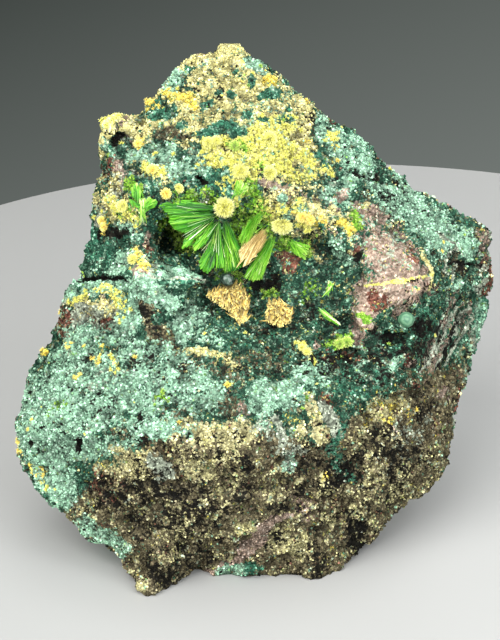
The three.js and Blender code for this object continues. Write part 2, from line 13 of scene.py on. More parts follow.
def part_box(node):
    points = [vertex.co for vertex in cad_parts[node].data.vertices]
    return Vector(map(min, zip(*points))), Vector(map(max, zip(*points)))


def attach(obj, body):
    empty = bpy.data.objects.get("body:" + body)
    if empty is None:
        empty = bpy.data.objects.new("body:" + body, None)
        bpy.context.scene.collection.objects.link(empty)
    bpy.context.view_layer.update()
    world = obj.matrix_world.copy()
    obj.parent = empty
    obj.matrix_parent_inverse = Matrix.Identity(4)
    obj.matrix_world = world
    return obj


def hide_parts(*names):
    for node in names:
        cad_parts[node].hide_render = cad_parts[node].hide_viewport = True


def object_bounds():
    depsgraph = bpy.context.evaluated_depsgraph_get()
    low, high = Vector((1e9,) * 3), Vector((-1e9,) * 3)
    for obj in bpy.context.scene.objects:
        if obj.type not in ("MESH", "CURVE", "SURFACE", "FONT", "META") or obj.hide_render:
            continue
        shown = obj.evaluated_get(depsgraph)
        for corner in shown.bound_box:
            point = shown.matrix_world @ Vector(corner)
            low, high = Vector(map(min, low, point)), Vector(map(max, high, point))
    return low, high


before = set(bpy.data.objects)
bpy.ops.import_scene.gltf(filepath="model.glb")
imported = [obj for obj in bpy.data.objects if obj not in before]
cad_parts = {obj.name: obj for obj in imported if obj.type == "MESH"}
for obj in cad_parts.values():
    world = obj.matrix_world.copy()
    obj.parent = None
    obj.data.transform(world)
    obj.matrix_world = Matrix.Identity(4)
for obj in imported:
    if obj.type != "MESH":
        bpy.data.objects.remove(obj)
cad_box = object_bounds()

MM = 0.001
SEED = 7

# The face of the specimen is set out as it is seen from the eye: across and up from its middle, and
# behind it, away from the eye.
EYE_DISTANCE = 250
EYE_ELEVATION = math.radians(22)
FACE_HEIGHT = 28.5
PICTURE_HEIGHT = 80  # what the picture takes in at the face, from its lower to its upper edge
SENSOR = 36
ACROSS = np.array([1, 0, 0])
UPWARD = np.array([0, math.sin(EYE_ELEVATION), math.cos(EYE_ELEVATION)])
AWAY = np.array([0, math.cos(EYE_ELEVATION), -math.sin(EYE_ELEVATION)])
MIDDLE = np.array([0, 0, FACE_HEIGHT])
EYE = MIDDLE - EYE_DISTANCE * AWAY


def face_point(across, up, behind=0.0):
    """The point of the specimen that lies there on the face."""
    spread = 1 + behind / EYE_DISTANCE
    return MIDDLE + spread * (across * ACROSS + up * UPWARD) + behind * AWAY


def seen_from_eye(points):
    """Across, up and behind for each point."""
    offset = points - EYE
    depth = offset @ AWAY
    spread = depth / EYE_DISTANCE
    return (offset @ ACROSS) / spread, (offset @ UPWARD) / spread, depth - EYE_DISTANCE


def smooth_step(low, high, values):
    share = np.clip((values - low) / (high - low), 0, 1)
    return share * share * (3 - 2 * share)


def unit(vectors):
    return vectors / np.maximum(np.linalg.norm(vectors, axis=-1, keepdims=True), 1e-9)


# Repeatable noise

CELL_MIXERS = (374761393, 668265263, 974634777)  # large odd numbers that scatter the values of near cells
SEED_MIXER = 73856093
LAST_MIXER = 1274126177
KEPT_BITS = 0x7FFFFFFF
VALUE_BITS = 0xFFFF
SEED_SHIFT = 17.3  # each seed looks at another part of the noise
PEBBLE_EDGE = 0.45  # how wide a pebble's rounded edge is


def lattice_value(cell, seed):
    """A number from 0 to 1 for each whole-numbered cell."""
    mixed = sum(cell[:, axis] * mixer for axis, mixer in enumerate(CELL_MIXERS)) + seed * SEED_MIXER
    mixed = (mixed ^ (mixed >> 13)) & KEPT_BITS
    mixed = (mixed * LAST_MIXER) & KEPT_BITS
    return ((mixed ^ (mixed >> 16)) & VALUE_BITS) / VALUE_BITS


def noise_at(points, size, seed, octaves=1):
    """Smooth noise from -1 to 1, with features about `size` wide, and finer ones in each octave."""
    total = np.zeros(len(points))
    strength = 1.0
    for octave in range(octaves):
        place = points * (2 ** octave / size) + SEED_SHIFT * seed
        cell = np.floor(place).astype(np.int64)
        part = place - cell
        part = part * part * (3 - 2 * part)
        for corner in np.ndindex(2, 2, 2):
            corner = np.array(corner)
            weight = np.prod(np.where(corner, part, 1 - part), axis=1)
            total += strength * weight * (2 * lattice_value(cell + corner, seed + octave) - 1)
        strength *= 0.5
    return total


def pebbles_at(points, size, seed):
    """Rounded pebbles about `size` wide: 1 on top of each one, and 0 in the gaps between them."""
    place = points / size
    cell = np.floor(place).astype(np.int64)
    nearest = np.full(len(points), np.inf)
    second = np.full(len(points), np.inf)
    for step in np.ndindex(3, 3, 3):
        other = cell + np.array(step) - 1
        middle = other + np.stack([lattice_value(other, seed + axis) for axis in range(3)], axis=1)
        distance = np.linalg.norm(place - middle, axis=1)
        second = np.minimum(second, np.maximum(nearest, distance))
        nearest = np.minimum(nearest, distance)
    return smooth_step(0, PEBBLE_EDGE, second - nearest)


# The minerals of the face, in the order in which they lie on each other. Each patch says how fully
# the mineral covers there, how far it reaches from its middle line, and that line, across and up.
PATCHES = {
    "ore": [
        (0.75, 0.8, (-11.2, 23.1), (-7.8, 23)), (0.6, 0.9, (7.2, 25), (6.2, 23.6), (8.2, 23.2)),
        (0.8, 0.9, (-0.4, 28.2), (-2, 28.6)), (0.6, 0.7, (-3.6, 28.6), (-3.4, 27.2)),
        (0.5, 0.9, (-4.6, 31.4), (-3.4, 30.6)),
        (1, 0.9, (-13.7, 2.2), (-13, 0.4), (-11.4, -1.6), (-9, -3.6)), (0.4, 3, (15.5, 15), (18, 13.6)),
        (0.5, 1.2, (24.4, 8), (26, 6.5)), (0.6, 0.8, (-28.3, -6.5), (-29.6, -12.5)),
        (0.6, 1.1, (21.6, -6.4), (26.4, -6.8)), (0.75, 3, (23.5, -8.6), (21, -12)),
        (0.5, 0.8, (13.4, 19.4)), (0.6, 1.1, (2.8, 16.2), (4.8, 15.8)), (0.5, 1.2, (28.5, 11)),
        (0.55, 1.1, (-3.8, -10.6), (1, -11.6)), (0.5, 1.6, (-17.6, -14.4), (-12, -12.6)),
        (0.35, 1.5, (-15, -2.6), (-12.4, -4.4)), (0.55, 2.2, (-13, -5.6), (-8, -6.4), (-3.4, -7.6)),
        (0.45, 1.4, (-22, -9.4), (-17, -10.6)), (0.5, 1.2, (-10, -10.4), (-7.6, -11.6)),
        (0.65, 1.3, (-5, -9.8), (-1.6, -11)), (0.45, 1.5, (-0.6, -5.4), (3.4, -4.6)),
        (0.5, 1, (-23.4, -4.6), (-20.4, -6)), (0.5, 1, (-11.4, -9.6), (-9.4, -11.6)),
        (0.7, 1, (-21.2, -23.8), (-20.4, -24.6)),
    ],
    "dust": [
        (0.95, 1.7, (-9, -13.9), (-5, -14), (-0.6, -14.6)), (0.85, 1.4, (-16.4, -16.6), (-13.2, -17.6)),
        (0.7, 1.1, (-14.6, -19.2), (-13, -20)), (0.8, 0.9, (-15.6, -17.6), (-14.8, -19.4)),
        (0.5, 2.2, (-7, -16.6), (-3, -17)), (0.9, 0.8, (7.4, -9.4), (8, -12.2)),
        (0.85, 0.8, (6.4, -13.2), (7, -15.6)), (0.8, 1, (8.6, -12.8), (9, -14.6)),
        (0.7, 1.6, (-7.4, -18.4), (-5.4, -18.8)), (0.7, 1, (-18.8, -18.6), (-16, -18.4)),
        (0.6, 1.8, (15.4, -11.6), (18.6, -10.6)), (0.95, 0.9, (-1.2, -25.4), (0.2, -25.5)),
        (0.95, 0.8, (2.6, -27.4)), (0.85, 0.7, (9, -19.8), (9.4, -21.4)), (0.7, 0.9, (10, -25.1)),
        (0.75, 1.6, (4, -27.2), (6.4, -28.2)), (0.75, 1, (19.5, -18.8)), (0.55, 1.5, (17.5, -21)),
        (0.5, 1.6, (12.5, -15), (18, -14.5)), (0.5, 2.4, (-5, -23), (-2, -20)),
        (0.5, 2.4, (-9, -25), (-10, -28)), (0.45, 3, (3, -20), (5, -23)),
        (0.5, 2, (13.5, -22.5), (16, -17.5)), (0.8, 0.7, (-13.4, -33.2)),
    ],
    "pink": [
        (1, 2.9, (16.4, 8.8), (18, 5.8), (19.6, 4.6)), (1, 2, (15.2, 3.8), (18.6, 3)),
        (0.95, 1.6, (14.8, 2.6), (14.6, -0.6)), (0.9, 0.8, (14.4, -2.6)),
        (0.7, 1.5, (13.6, 13.6), (16.4, 13)), (0.95, 0.5, (11.9, 16.4), (11.3, 14.8)),
        (0.9, 0.9, (2.4, 16.9), (3.8, 16.6)), (0.9, 0.45, (4.9, 19.8), (5, 17.8)),
        (0.8, 0.9, (-16.2, 19.4), (-16, 16.2)), (0.85, 0.8, (-15.6, 25.4), (-15.6, 24)),
        (0.75, 1.3, (-21, 1.2), (-17.6, 0.9)), (0.9, 0.5, (-13.1, 10.8), (-13, 9.4)),
        (0.7, 0.6, (-14.6, 22.8), (-13.8, 21.2)), (0.6, 0.8, (-0.4, -11.4)), (0.8, 0.6, (20.7, -5.2)),
        (0.5, 1.6, (23.4, -4.4), (27.4, 1.6)),
        (0.95, 0.4, (-5.6, -31.6), (-2.6, -30.5), (0, -29.1), (1.5, -26.4), (3.5, -24.6), (5, -24.4)),
        (1, 1, (-1, -28.4), (0.6, -27), (2, -25.2)), (0.5, 1.1, (5.4, -22), (6.6, -24)),
        (0.6, 0.8, (-6.4, 33.2)), (0.7, 0.6, (8.6, -3)), (0.7, 1, (24.2, -9.4)),
        (0.5, 1.2, (17.5, -14), (15, -16)), (1, 1, (-13.8, 6), (-12.6, 5.9)),
        (0.5, 0.9, (1.4, 17.4), (1, 20)), (0.55, 1.6, (5, 15.4), (10, 14.6)),
        (0.4, 1.4, (7, 11.4), (12, 10)),
    ],
    "rust": [
        (0.6, 0.9, (-18, 19.4), (-17.6, 17)), (0.95, 1.1, (-23.2, 0.2), (-22.4, -1.9)),
        (0.95, 0.9, (-18.8, 0.3), (-17, -0.6)), (0.5, 1.4, (-19.5, -20.5), (-17, -21.5)),
        (0.95, 0.6, (19.4, -4.4), (19.8, -5.4)), (0.5, 0.4, (19.6, 8.2), (20.3, 7.3)),
        (1, 0.9, (4.2, 7.8), (5.3, 6.6)), (1, 0.6, (15.3, 2.9), (15.8, 1.5)),
        (0.9, 0.4, (16.7, 2.6), (16.6, 1.6)), (0.6, 0.4, (13.6, 9), (13.4, 7.8)),
        (0.85, 0.35, (-6.6, 28.3)), (0.9, 0.22, (-5.9, 17), (-5.5, 15.6)),
        (0.5, 0.5, (9.4, 25.5), (10.4, 24.6)), (0.7, 0.5, (-12.8, 8.9)), (0.6, 0.8, (21, -8.5)),
        (0.5, 0.8, (9.3, -9.3), (10.2, -10.8)), (0.5, 1.2, (10.6, -4), (12.6, -4.4)),
        (0.35, 1.4, (-19.2, -18.6), (-16, -21.4)),
    ],
    "cream": [
        (1, 2, (-6.5, 30.8), (-4.4, 32.5), (-2.2, 33.2)),
        (1, 2.1, (-4.8, 29.2), (-1.9, 30), (1, 29.2), (3, 28)),
        (0.9, 1.6, (-9, 27), (-6, 25.6), (-1, 25.4), (3, 25)),
        (1, 1.2, (-6, 28.6), (-3, 26.8), (-1.9, 27.2)),
        (1, 1, (-14.4, 24.9), (-12.5, 24.4), (-9.4, 24.6), (-6.3, 25.2)),
        (0.95, 1.1, (-14.8, 23.8), (-12.8, 23.4)),
        (1, 1.4, (-6.3, 26), (-1.3, 26), (3.1, 26.5), (6.3, 25.6)), (1, 1.8, (2.3, 26.5), (4.4, 27.4)),
        (1, 1.5, (5.6, 24.6), (5.6, 23.2)), (0.85, 1.7, (2, 23), (6, 22), (8, 19.4)),
        (0.8, 0.6, (-13, 26.9), (-11.3, 28.1), (-10, 29.4)),
        (1.2, 1.4, (-19.3, 21.7), (-18.4, 24), (-17.2, 25.6)), (0.8, 1.5, (5.6, 20), (7.6, 18.8)),
        (0.9, 1, (-15.9, 14.3)), (0.95, 0.22, (21, 8.1), (22.5, 5.6), (22.3, 3.8)),
        (0.95, 0.5, (-8.4, -3.8), (-6.3, -4.2), (-3.4, -4.7)), (0.75, 2.2, (-3.6, 20.6), (4, 21)),
        (0.5, 1, (14.3, 14.8)), (0.7, 0.5, (-14.4, 12.4)), (0.4, 1, (8.2, 17)),
        (0.95, 0.8, (-14.6, 8.2), (-13.8, 7.4)), (0.9, 1.2, (-18.4, 14.4), (-17.2, 13.4)),
        (1, 1.5, (-17, 15.4), (-14.8, 13.4)), (0.8, 0.8, (-16.8, 17.6), (-16.6, 16)),
        (0.6, 1.4, (-13.6, 20), (-10, 17.6)), (0.5, 1.2, (-18.8, 17.6), (-18, 15)),
        (0.6, 1.1, (-9.6, 21.6), (-7.4, 22)), (0.4, 1, (10, 11.4), (13, 9.8)),
        (0.5, 1, (6, 10.8), (9, 10.6)), (0.5, 1.4, (3.8, 30.2)), (0.35, 0.9, (12.5, 12.2), (11, 13)),
        (0.7, 0.55, (-23.2, 2.3), (-20.5, 1.9)), (0.9, 1.1, (-21.6, 1.5), (-17, 1)),
        (0.75, 1.5, (3, 15), (5.6, 14), (9, 13.2)), (0.5, 1, (9.6, 12.6), (13, 12)),
        (0.5, 1.2, (3, 17.6), (7.4, 16)), (0.6, 0.9, (-4, -4.9), (-2.6, -5.4)),
        (0.7, 0.4, (-21.4, -17.2), (-19.4, -16.6)), (0.5, 1.2, (-16.4, -6.6)),
        (0.8, 0.4, (7.4, 8.8), (8.6, 7.4)),
    ],
    "gold": [
        (0.8, 0.5, (-0.8, 31.9)), (0.95, 0.7, (2, 30.2), (2.8, 29.9)), (0.7, 0.4, (6.8, 27.1)),
        (0.85, 0.5, (-12.6, 26.4), (-11.8, 26.5)), (1, 0.8, (-9.8, 28), (-8.4, 27.6), (-7.2, 27.3)),
        (0.7, 0.7, (7.2, 21.9)), (0.9, 0.7, (-13.9, 22.4)), (0.7, 0.9, (6.3, 13.1), (8.8, 12.3)),
        (0.9, 0.6, (11.2, 11.9), (12.8, 11)), (0.95, 0.5, (-18.1, 12), (-17.9, 10.8)),
        (0.8, 0.5, (-29.2, -15.4), (-28.9, -16.6)), (0.7, 0.5, (-27.3, -18), (-26.4, -19.4)),
        (0.8, 0.35, (-27.5, -13.6)), (1, 0.5, (-22.5, -3.5)), (0.9, 0.4, (-25.4, -4)),
        (0.9, 0.4, (-20, -4.3)), (0.8, 0.4, (-18.3, -3.4)), (1, 0.7, (-19.2, -5.3)), (1, 0.55, (-21.9, -7)),
        (0.8, 0.4, (-17.4, -7.7)), (0.95, 0.4, (-2.5, -8.5)), (0.7, 0.6, (10.2, 22.4), (11, 21.4)),
        (0.6, 0.6, (10.8, 19.8)), (0.7, 0.6, (9.2, -19.6)), (0.9, 0.6, (-13.2, 7), (-14.2, 8)),
        (0.3, 2, (15.8, -11.4), (18.6, -10.8)), (0.5, 0.5, (6.6, 9.4), (7.8, 9)),
    ],
    "lemon": [
        (1, 0.8, (-5.6, 21.8), (-3, 22.3)), (0.85, 1, (-5.6, 20.6), (-3.4, 20.2)),
        (0.9, 1.7, (-1.3, 21.3), (1.3, 22.8), (4, 21.4)), (0.9, 1.6, (-1.6, 18.8), (1.6, 19.6), (4, 19.4)),
        (0.8, 1.3, (2, 24), (4.4, 23.6)), (0.85, 1, (4.1, 11.8), (2.6, 13)),
        (1, 0.9, (-1.7, 15.6), (-1, 17.4)), (0.8, 0.9, (-0.4, 16.4), (0.6, 18)),
        (0.8, 0.8, (-3.4, 16.6), (-2.2, 17.6)), (0.7, 0.7, (1.6, 14.6), (3, 13.4)),
        (0.9, 0.6, (6.4, 12.4), (7.6, 11.9)), (0.8, 0.5, (9.8, 22.6), (10.6, 22.9)),
        (0.6, 0.5, (10.9, 20.8)), (0.8, 0.7, (9.6, 18.4)), (0.95, 0.55, (-19, 3.6), (-17.2, 3.2)),
        (0.7, 0.5, (-22.5, 2.4), (-20.6, 3)), (0.8, 0.6, (-16.8, 2.6), (-15.6, 1), (-15.8, -0.4)),
        (0.8, 1, (-16.4, 14.6), (-15.2, 13.2)), (0.7, 0.6, (-13.2, 19), (-11.4, 18.2)),
        (0.95, 0.7, (-18, 24.4), (-17.2, 25.6)), (0.8, 0.35, (6, -3.2), (6.9, -3.4), (8.1, -5.2)),
        (0.75, 0.17, (14.4, 4.2), (18.1, 4.7), (22.4, 5.6)), (0.9, 0.3, (17.6, 4.7), (19.6, 5)),
        (0.6, 0.6, (-16.8, -5), (-16.6, -6)), (0.7, 0.9, (3.4, 14.2), (5.4, 14)),
        (0.8, 0.9, (5.6, 17.6), (7.4, 18.2)), (0.7, 0.5, (-18.5, 13.2)),
        (0.6, 0.5, (-25.6, -20.4), (-24.6, -21)), (0.8, 0.7, (6.2, 20.4), (8, 19.4)),
    ],
    "malachite": [
        (0.9, 0.75, (-12.4, 25.4), (-9.8, 26)), (0.85, 0.65, (-7.3, 30.6)), (0.8, 0.5, (-4, 28.4)),
        (0.75, 0.5, (-6, 26.8), (-5.2, 27)), (0.95, 0.85, (-5.7, 23.5), (-3.6, 24.4), (-1.4, 23.8)),
        (0.85, 0.4, (-1.9, 31)), (0.85, 0.5, (0.2, 29.9)), (0.8, 0.6, (-2.4, 28.2)),
        (0.9, 0.55, (1.4, 28.4), (3.4, 28.5)), (0.6, 0.6, (-8.6, 24.2)),
        (0.6, 0.6, (3.6, 24.6), (5.4, 24.4)), (0.6, 0.5, (-9, 21.4)), (0.5, 0.6, (8.4, 20.6), (9.6, 19)),
        (0.8, 0.5, (4.4, 29.6)), (0.7, 0.5, (5, 26.3)), (0.85, 0.65, (-0.2, 25.4)),
        (0.8, 0.5, (1.2, 24.6), (2.2, 24.7)), (0.6, 1.2, (12.8, 22.2), (14.4, 20)), (0.5, 1.1, (9.8, 21)),
        (0.9, 1.9, (-5.4, 17.8), (-3.4, 17.2)), (0.9, 1.6, (-20.3, 10.2), (-18.4, 8.2)),
        (0.7, 1, (-18.2, 21), (-16.9, 21.4)), (0.7, 1.4, (-8.4, 17.6)), (0.8, 1, (-12.6, 16.6)),
        (0.8, 0.8, (-2.1, -31.2), (0.8, -31)), (0.75, 1.1, (10.4, -16.4), (11.8, -19.6)),
        (0.8, 0.9, (-21.4, 4.4), (-16, 4.2)), (0.7, 0.7, (10.6, -14.4), (11.4, -13)), (0.6, 0.8, (4, 33)),
        (0.5, 1.5, (24, 12), (22, 15)), (0.9, 0.5, (-28, -6.2), (-29, -9), (-30, -12)),
        (0.4, 2.2, (11, -7.6), (16, -7)), (0.7, 1.3, (-10, 6.6), (-7.4, 5.2)),
    ],
    "mint": [
        (0.8, 0.8, (-10, 29), (-8.8, 30.2)), (0.9, 0.9, (-0.4, 32), (1.2, 31.4)),
        (0.8, 0.9, (8.4, 24.6), (9, 23.4)), (0.8, 1.2, (-17.2, 21.2)), (0.85, 1.5, (-14, 21), (-12, 20.4)),
        (0.85, 1.4, (-10.4, 20.6), (-9.4, 18.6)), (0.6, 1.2, (-7.4, 19), (-5.6, 19.2)),
        (0.85, 1.5, (11.4, 20.6), (14.8, 18.6)), (0.7, 1.2, (9.4, 23.4), (13.4, 21.4)),
        (0.65, 1.5, (12, 17.4), (9.4, 15.8)), (0.75, 1.3, (15.4, 16.4), (17, 15)),
        (0.95, 2.2, (18.4, 15.2), (22, 12.4), (24.5, 10)), (1, 1.3, (26.6, 9.8), (28, 9)),
        (0.6, 1.3, (22.4, 10), (23, 8.5)), (0.5, 1.6, (-11.8, 6.9), (-10.2, 6.3)),
        (0.4, 1.4, (-9.6, 5), (-7.6, 4)), (1, 1.3, (-14.8, 4.4), (-14.9, 1.6), (-15.4, -1.4)),
        (0.4, 1.2, (-20, 7.4), (-17, 6.8)), (0.7, 1, (-23.4, 4), (-24, 1.4)),
        (0.8, 1.2, (-21.4, -0.8), (-19.6, -1)), (0.75, 2.6, (-21, -3), (-24, -7)),
        (0.8, 1.6, (-21, 4.6), (-15, 4)), (0.85, 0.8, (-24, 3.4), (-22.6, 3.4)),
        (0.3, 1.4, (-20, 6.8), (-16, 8.4)), (0.8, 1.7, (-13, 3.4), (-9, 1.8), (-6.4, 0.2)),
        (0.7, 2, (-16.6, -2), (-13.6, -4.4), (-9, -4.6)), (0.5, 1.4, (-7, -1.4), (-4.4, -2.2)),
        (0.95, 1.2, (-9.4, -0.6), (-7.8, -1)), (0.6, 0.7, (-14, 5), (-8, 6.4), (-6.4, 4.6)),
        (0.85, 4.2, (-26, -10), (-20, -9), (-13, -8.6)), (0.85, 3, (-27, -14.5), (-21, -13)),
        (0.75, 2.7, (-10, -7.6), (-5, -9.4)), (1, 1.9, (1.8, -9), (4.8, -9.4)),
        (0.9, 1.2, (1.2, -10.6), (1.6, -11.8)), (0.8, 1.3, (6.6, -7), (9.6, -6.2)),
        (0.95, 2, (-25.5, -16), (-24.4, -20), (-23.4, -22)), (0.9, 1.6, (-22.6, -16), (-18.8, -16)),
        (0.8, 1, (-20.6, -25.6), (-18, -27.6), (-16, -28.6)), (0.6, 0.8, (1.4, -13.6)),
        (0.8, 0.8, (4.5, -18.6), (5, -17.4)), (1, 0.35, (18.2, -4.6), (17.9, -6.2)),
        (0.9, 1.3, (-16.4, 6.2), (-15.6, 7.2)), (0.7, 1.2, (11, 9.2), (12, 8)),
        (0.95, 1.3, (-14.2, -13.2), (-10.6, -13.4)), (1, 1.2, (-14, 4.8), (-13, 3.8)),
        (0.5, 1.1, (11, 13.8), (12, 14.6)), (0.6, 0.9, (25.6, 4.4), (27.6, 4)),
        (0.7, 0.8, (-17.6, -15.4), (-14, -15)), (0.75, 0.6, (-3.4, -31.4), (-1, -30.9)),
        (0.7, 1, (-15.6, 11.4), (-14.4, 10.8)), (0.6, 1, (4.6, 12.9)), (1, 0.4, (4, 15.1)),
        (0.6, 0.4, (10.6, -4), (14, -6.6)), (0.85, 0.9, (-8, -14), (-9.6, -12.8)),
    ],
    "lime": [
        (0.95, 0.35, (-18.1, 20.3)), (0.95, 0.5, (-2.6, 22), (-0.6, 21.2)),
        (0.9, 0.6, (13, 12.6), (13.5, 11.7)), (0.85, 0.9, (10.6, -3), (12.8, -2)), (0.5, 0.35, (14.4, 8)),
        (0.75, 0.6, (14, 0.5), (14.8, 0)), (0.8, 0.8, (2.6, 3.4)), (0.75, 1, (5.6, 9.4), (7.2, 8)),
        (0.6, 1.6, (-1, 3.6), (-3.5, 6)), (0.85, 1.6, (-9.6, 12), (-7.6, 10)),
        (0.8, 2, (-1, 13), (0.6, 9.6)), (0.7, 1.4, (-8, 14.6), (-5, 15)),
        (0.8, 1.4, (1.4, 13.4), (2.4, 9.4)), (0.75, 1.2, (4.6, 9.4), (6.4, 9.6)),
        (0.5, 0.8, (-11.4, -9.8), (-10.8, -10.6)), (0.35, 1.2, (-24, -11.6)),
        (0.8, 0.9, (0.2, 16.6), (1.4, 14.6)), (0.4, 0.6, (-15.6, 12.8), (-14.6, 13.4)), (0.4, 0.8, (7, -9)),
        (0.8, 0.7, (-14.4, 17), (-13.6, 15.2)), (0.5, 0.8, (8, 4.4), (7, 2.6)),
        (0.6, 0.6, (1, 19), (2.2, 18.4)),
    ],
    "ash": [
        (0.5, 0.6, (-12.8, 7), (-12, 7.1)), (0.95, 0.55, (3.3, -12.4), (4.2, -15)),
        (0.95, 0.7, (9.2, -10.6), (10.6, -13.6)), (1, 1.1, (-12.4, -17.6), (-10.8, -19)),
        (0.65, 1.1, (3.6, -16.4), (6.4, -16.6)), (0.7, 0.8, (-11.5, -20.4)),
        (0.6, 0.18, (22.3, -6), (24.2, -2.6), (26, 1.6)),
        (0.8, 0.18, (23.4, -6), (25.3, -2.4), (27.3, 2.6)),
        (0.8, 0.18, (24.6, -5.6), (26.4, -1.8), (28.3, 2.4)),
        (0.6, 0.18, (21.6, -6.6), (23.2, -3.4), (24.6, 0)),
        (0.95, 0.2, (24.1, 6), (24, 7), (24.4, 7.5), (25.8, 8.8), (25.5, 9.6), (23.5, 10.9)),
        (0.85, 0.2, (25, 5), (25.2, 6), (26.4, 7.2)), (0.7, 0.16, (-14, 5.6), (-9, 5.3), (-5, 4.9)),
        (0.5, 0.7, (-5.5, 15.2)), (0.5, 0.5, (-0.5, 10.5)), (0.6, 0.8, (10, 17)),
        (0.4, 1, (16.6, 7.2), (18, 9.4)), (0.5, 1, (4.5, -18)), (0.8, 0.4, (-18.4, 14), (-18.8, 12)),
        (0.5, 1.2, (-15.8, 18), (-16, 16)), (0.65, 1.5, (-21.6, 0.8), (-17.6, 0.4)),
        (0.3, 2.2, (17, -18), (21, -12.6)), (0.35, 1.5, (-0.5, -13), (2.5, -13.6)),
        (0.35, 1, (-16, -6), (-20, -8)),
    ],
    # Black: dark specks, and painted shade laid into the pits and holes and under things.
    "black_and_painted_pit_shade": [
        (0.65, 0.8, (17, 18.9), (18.5, 17.6), (20.2, 15.9)),
        (0.45, 0.6, (12.3, 18.4), (14, 18), (15.6, 18)), (0.35, 1.6, (15.4, 16), (18.6, 13.4)),
        (0.6, 0.4, (-16.6, 22.4), (-15.6, 23)), (1, 0.3, (-21.6, 5.3), (-18, 5.4), (-15.6, 4.9)),
        (0.7, 0.9, (-18.9, 10.9), (-16.8, 11)), (0.6, 0.6, (-15.6, 10.8)),
        (0.2, 1.6, (-12, 12), (-9.6, 10.4)), (0.5, 0.6, (-14.2, 18.5)),
        (0.8, 0.3, (-6.5, 18.1), (-5.4, 17)), (0.45, 0.5, (1.6, 16), (3.4, 15.8)),
        (0.7, 0.3, (24.6, 7), (27, 7.2), (29.5, 6.8)), (0.8, 0.45, (29.7, 12), (29.9, 10.4)),
        (0.5, 0.4, (-21.3, -4.8), (-19.8, -4.2)), (1, 0.35, (-23.4, -14.5)),
        (1, 0.35, (-21.4, -15.2), (-21.4, -16.2)), (0.9, 0.3, (-27.4, -15.4)), (0.9, 0.25, (-26.1, -13.4)),
        (0.9, 0.3, (-26.6, -16.4)), (0.9, 0.35, (-14, -11.8)), (0.6, 0.7, (11, -4.4), (12.6, -5.2)),
        (0.4, 0.25, (16.8, -2.1), (19.6, -2.6)), (0.3, 2.4, (-4, 7), (-1, 5)),
        (0.7, 0.9, (1.2, 4.8), (3.4, 4.4)), (0.6, 1.1, (0.8, 12)),
        (0.6, 1.6, (-17.6, -21), (-12, -22), (-6, -22)), (0.5, 1.1, (-3.4, -17.4), (0, -18.8)),
        (0.5, 0.8, (-15.6, -14.8), (-13.2, -15.2)), (0.5, 0.7, (-13.4, 1), (-11.4, -1.4)),
        (0.6, 1.8, (9, -20.5), (13, -17.5), (17, -15.6)), (0.5, 2.4, (-14, -25), (-6, -23.6)),
        (0.5, 2, (17, -21), (20, -17)), (0.6, 1.4, (13, -19.5), (10.6, -17.4)),
        (0.8, 1.5, (13, -25.4), (13.4, -28.8)), (0.55, 1.4, (-1.4, -22)),
        (0.55, 2, (15.5, -14.4), (19.6, -17.6)), (0.6, 1.2, (-13, -30), (-10.6, -32)),
        (0.35, 2.6, (21.5, 3), (25, -1)), (0.5, 2.2, (16.8, -3), (21.6, -4)),
        (0.55, 1.3, (15.4, -5.8), (17, -7)), (0.5, 1.1, (19.6, -6.6)),
        (0.7, 1.3, (20.8, -0.8), (23.6, -1.6)), (0.55, 1.2, (8.4, -30.8)),
        (0.4, 2, (7.6, -4.6), (13.4, -6.4)), (0.4, 1.8, (8, 1), (3, -1)),
        (0.7, 0.4, (14, 8.4), (13.2, 7.4)),
    ],
}
MINERALS = list(PATCHES)

# Below this line of the face, across and up, the rock is bare ore.
ORE_EDGE = [(-32, -31), (-25, -26), (-21.5, -21.8), (-19.2, -19.6), (-17.9, -18.2), (-13.4, -15.8),
            (-10, -13.8), (-1, -13.6), (4, -14.8), (10, -15), (14, -11), (19, -8.4), (26, -5.6), (32, -4)]
ORE_EDGE_WIDTH = 1.6
ORE_EDGE_WANDER = 0.9

# What covers the sides and the back: how much of it, how large its patches are, and from what height
# to what height it lies.
BACK_COVER = {
    "ore": (0.5, 9, -5, 26), "dust": (0.45, 5, 0, 24), "pink": (0.28, 6, 4, 50), "rust": (0.3, 5, 0, 55),
    "cream": (0.35, 6, 36, 70), "malachite": (0.45, 6, 8, 60),
    "mint": (0.6, 8, 14, 60), "ash": (0.18, 4, 0, 60), "black_and_painted_pit_shade": (0.1, 2.5, 0, 60),
}
# Specks of each mineral lie all over the green crust, and all over the bare ore: the share in each.
SPECKS = {
    "ore": (0.2, 0), "dust": (0.0, 0.24), "pink": (0.05, 0.14), "rust": (0.1, 0.1), "cream": (0.12, 0.06),
    "gold": (0.04, 0.02), "lemon": (0.05, 0), "malachite": (0.2, 0.03), "mint": (0.2, 0.07),
    "lime": (0.03, 0), "ash": (0.07, 0.07), "black_and_painted_pit_shade": (0.14, 0.3),
}
SPECK_SIZE = 4

BACK_STARTS = 6  # this far behind the face plane the patches of the face give way to those of the back
BACK_FULL = 11


def distance_to_line(places, line):
    """How far each place, across and up, is from a broken line."""
    nearest = np.full(len(places), np.inf)
    for start, end in zip(line, line[1:] or line[:1]):
        start, end = np.array(start, float), np.array(end, float)
        way = end - start
        share = np.clip((places - start) @ way / max(way @ way, 1e-9), 0, 1)
        nearest = np.minimum(nearest, np.linalg.norm(places - start - share[:, None] * way, axis=1))
    return nearest


SMALL_REACH = 0.8  # patches smaller than this cover more firmly
SMALL_STRENGTH = 1.25
PATCH_FADE = (0.3, 1.7)  # where a patch starts to fade and where it ends, as shares of its reach


def patch_cover(places, patches, wander=0.0):
    """How fully the patches cover each place, across and up. The edges of the small ones wander less."""
    cover = np.zeros(len(places))
    for strength, reach, *line in patches:
        gone = smooth_step(*PATCH_FADE, distance_to_line(places + min(1, reach) * wander, line) / reach)
        firm = SMALL_STRENGTH if reach < SMALL_REACH else 1
        cover = np.maximum(cover, strength * firm * (1 - gone))
    return cover


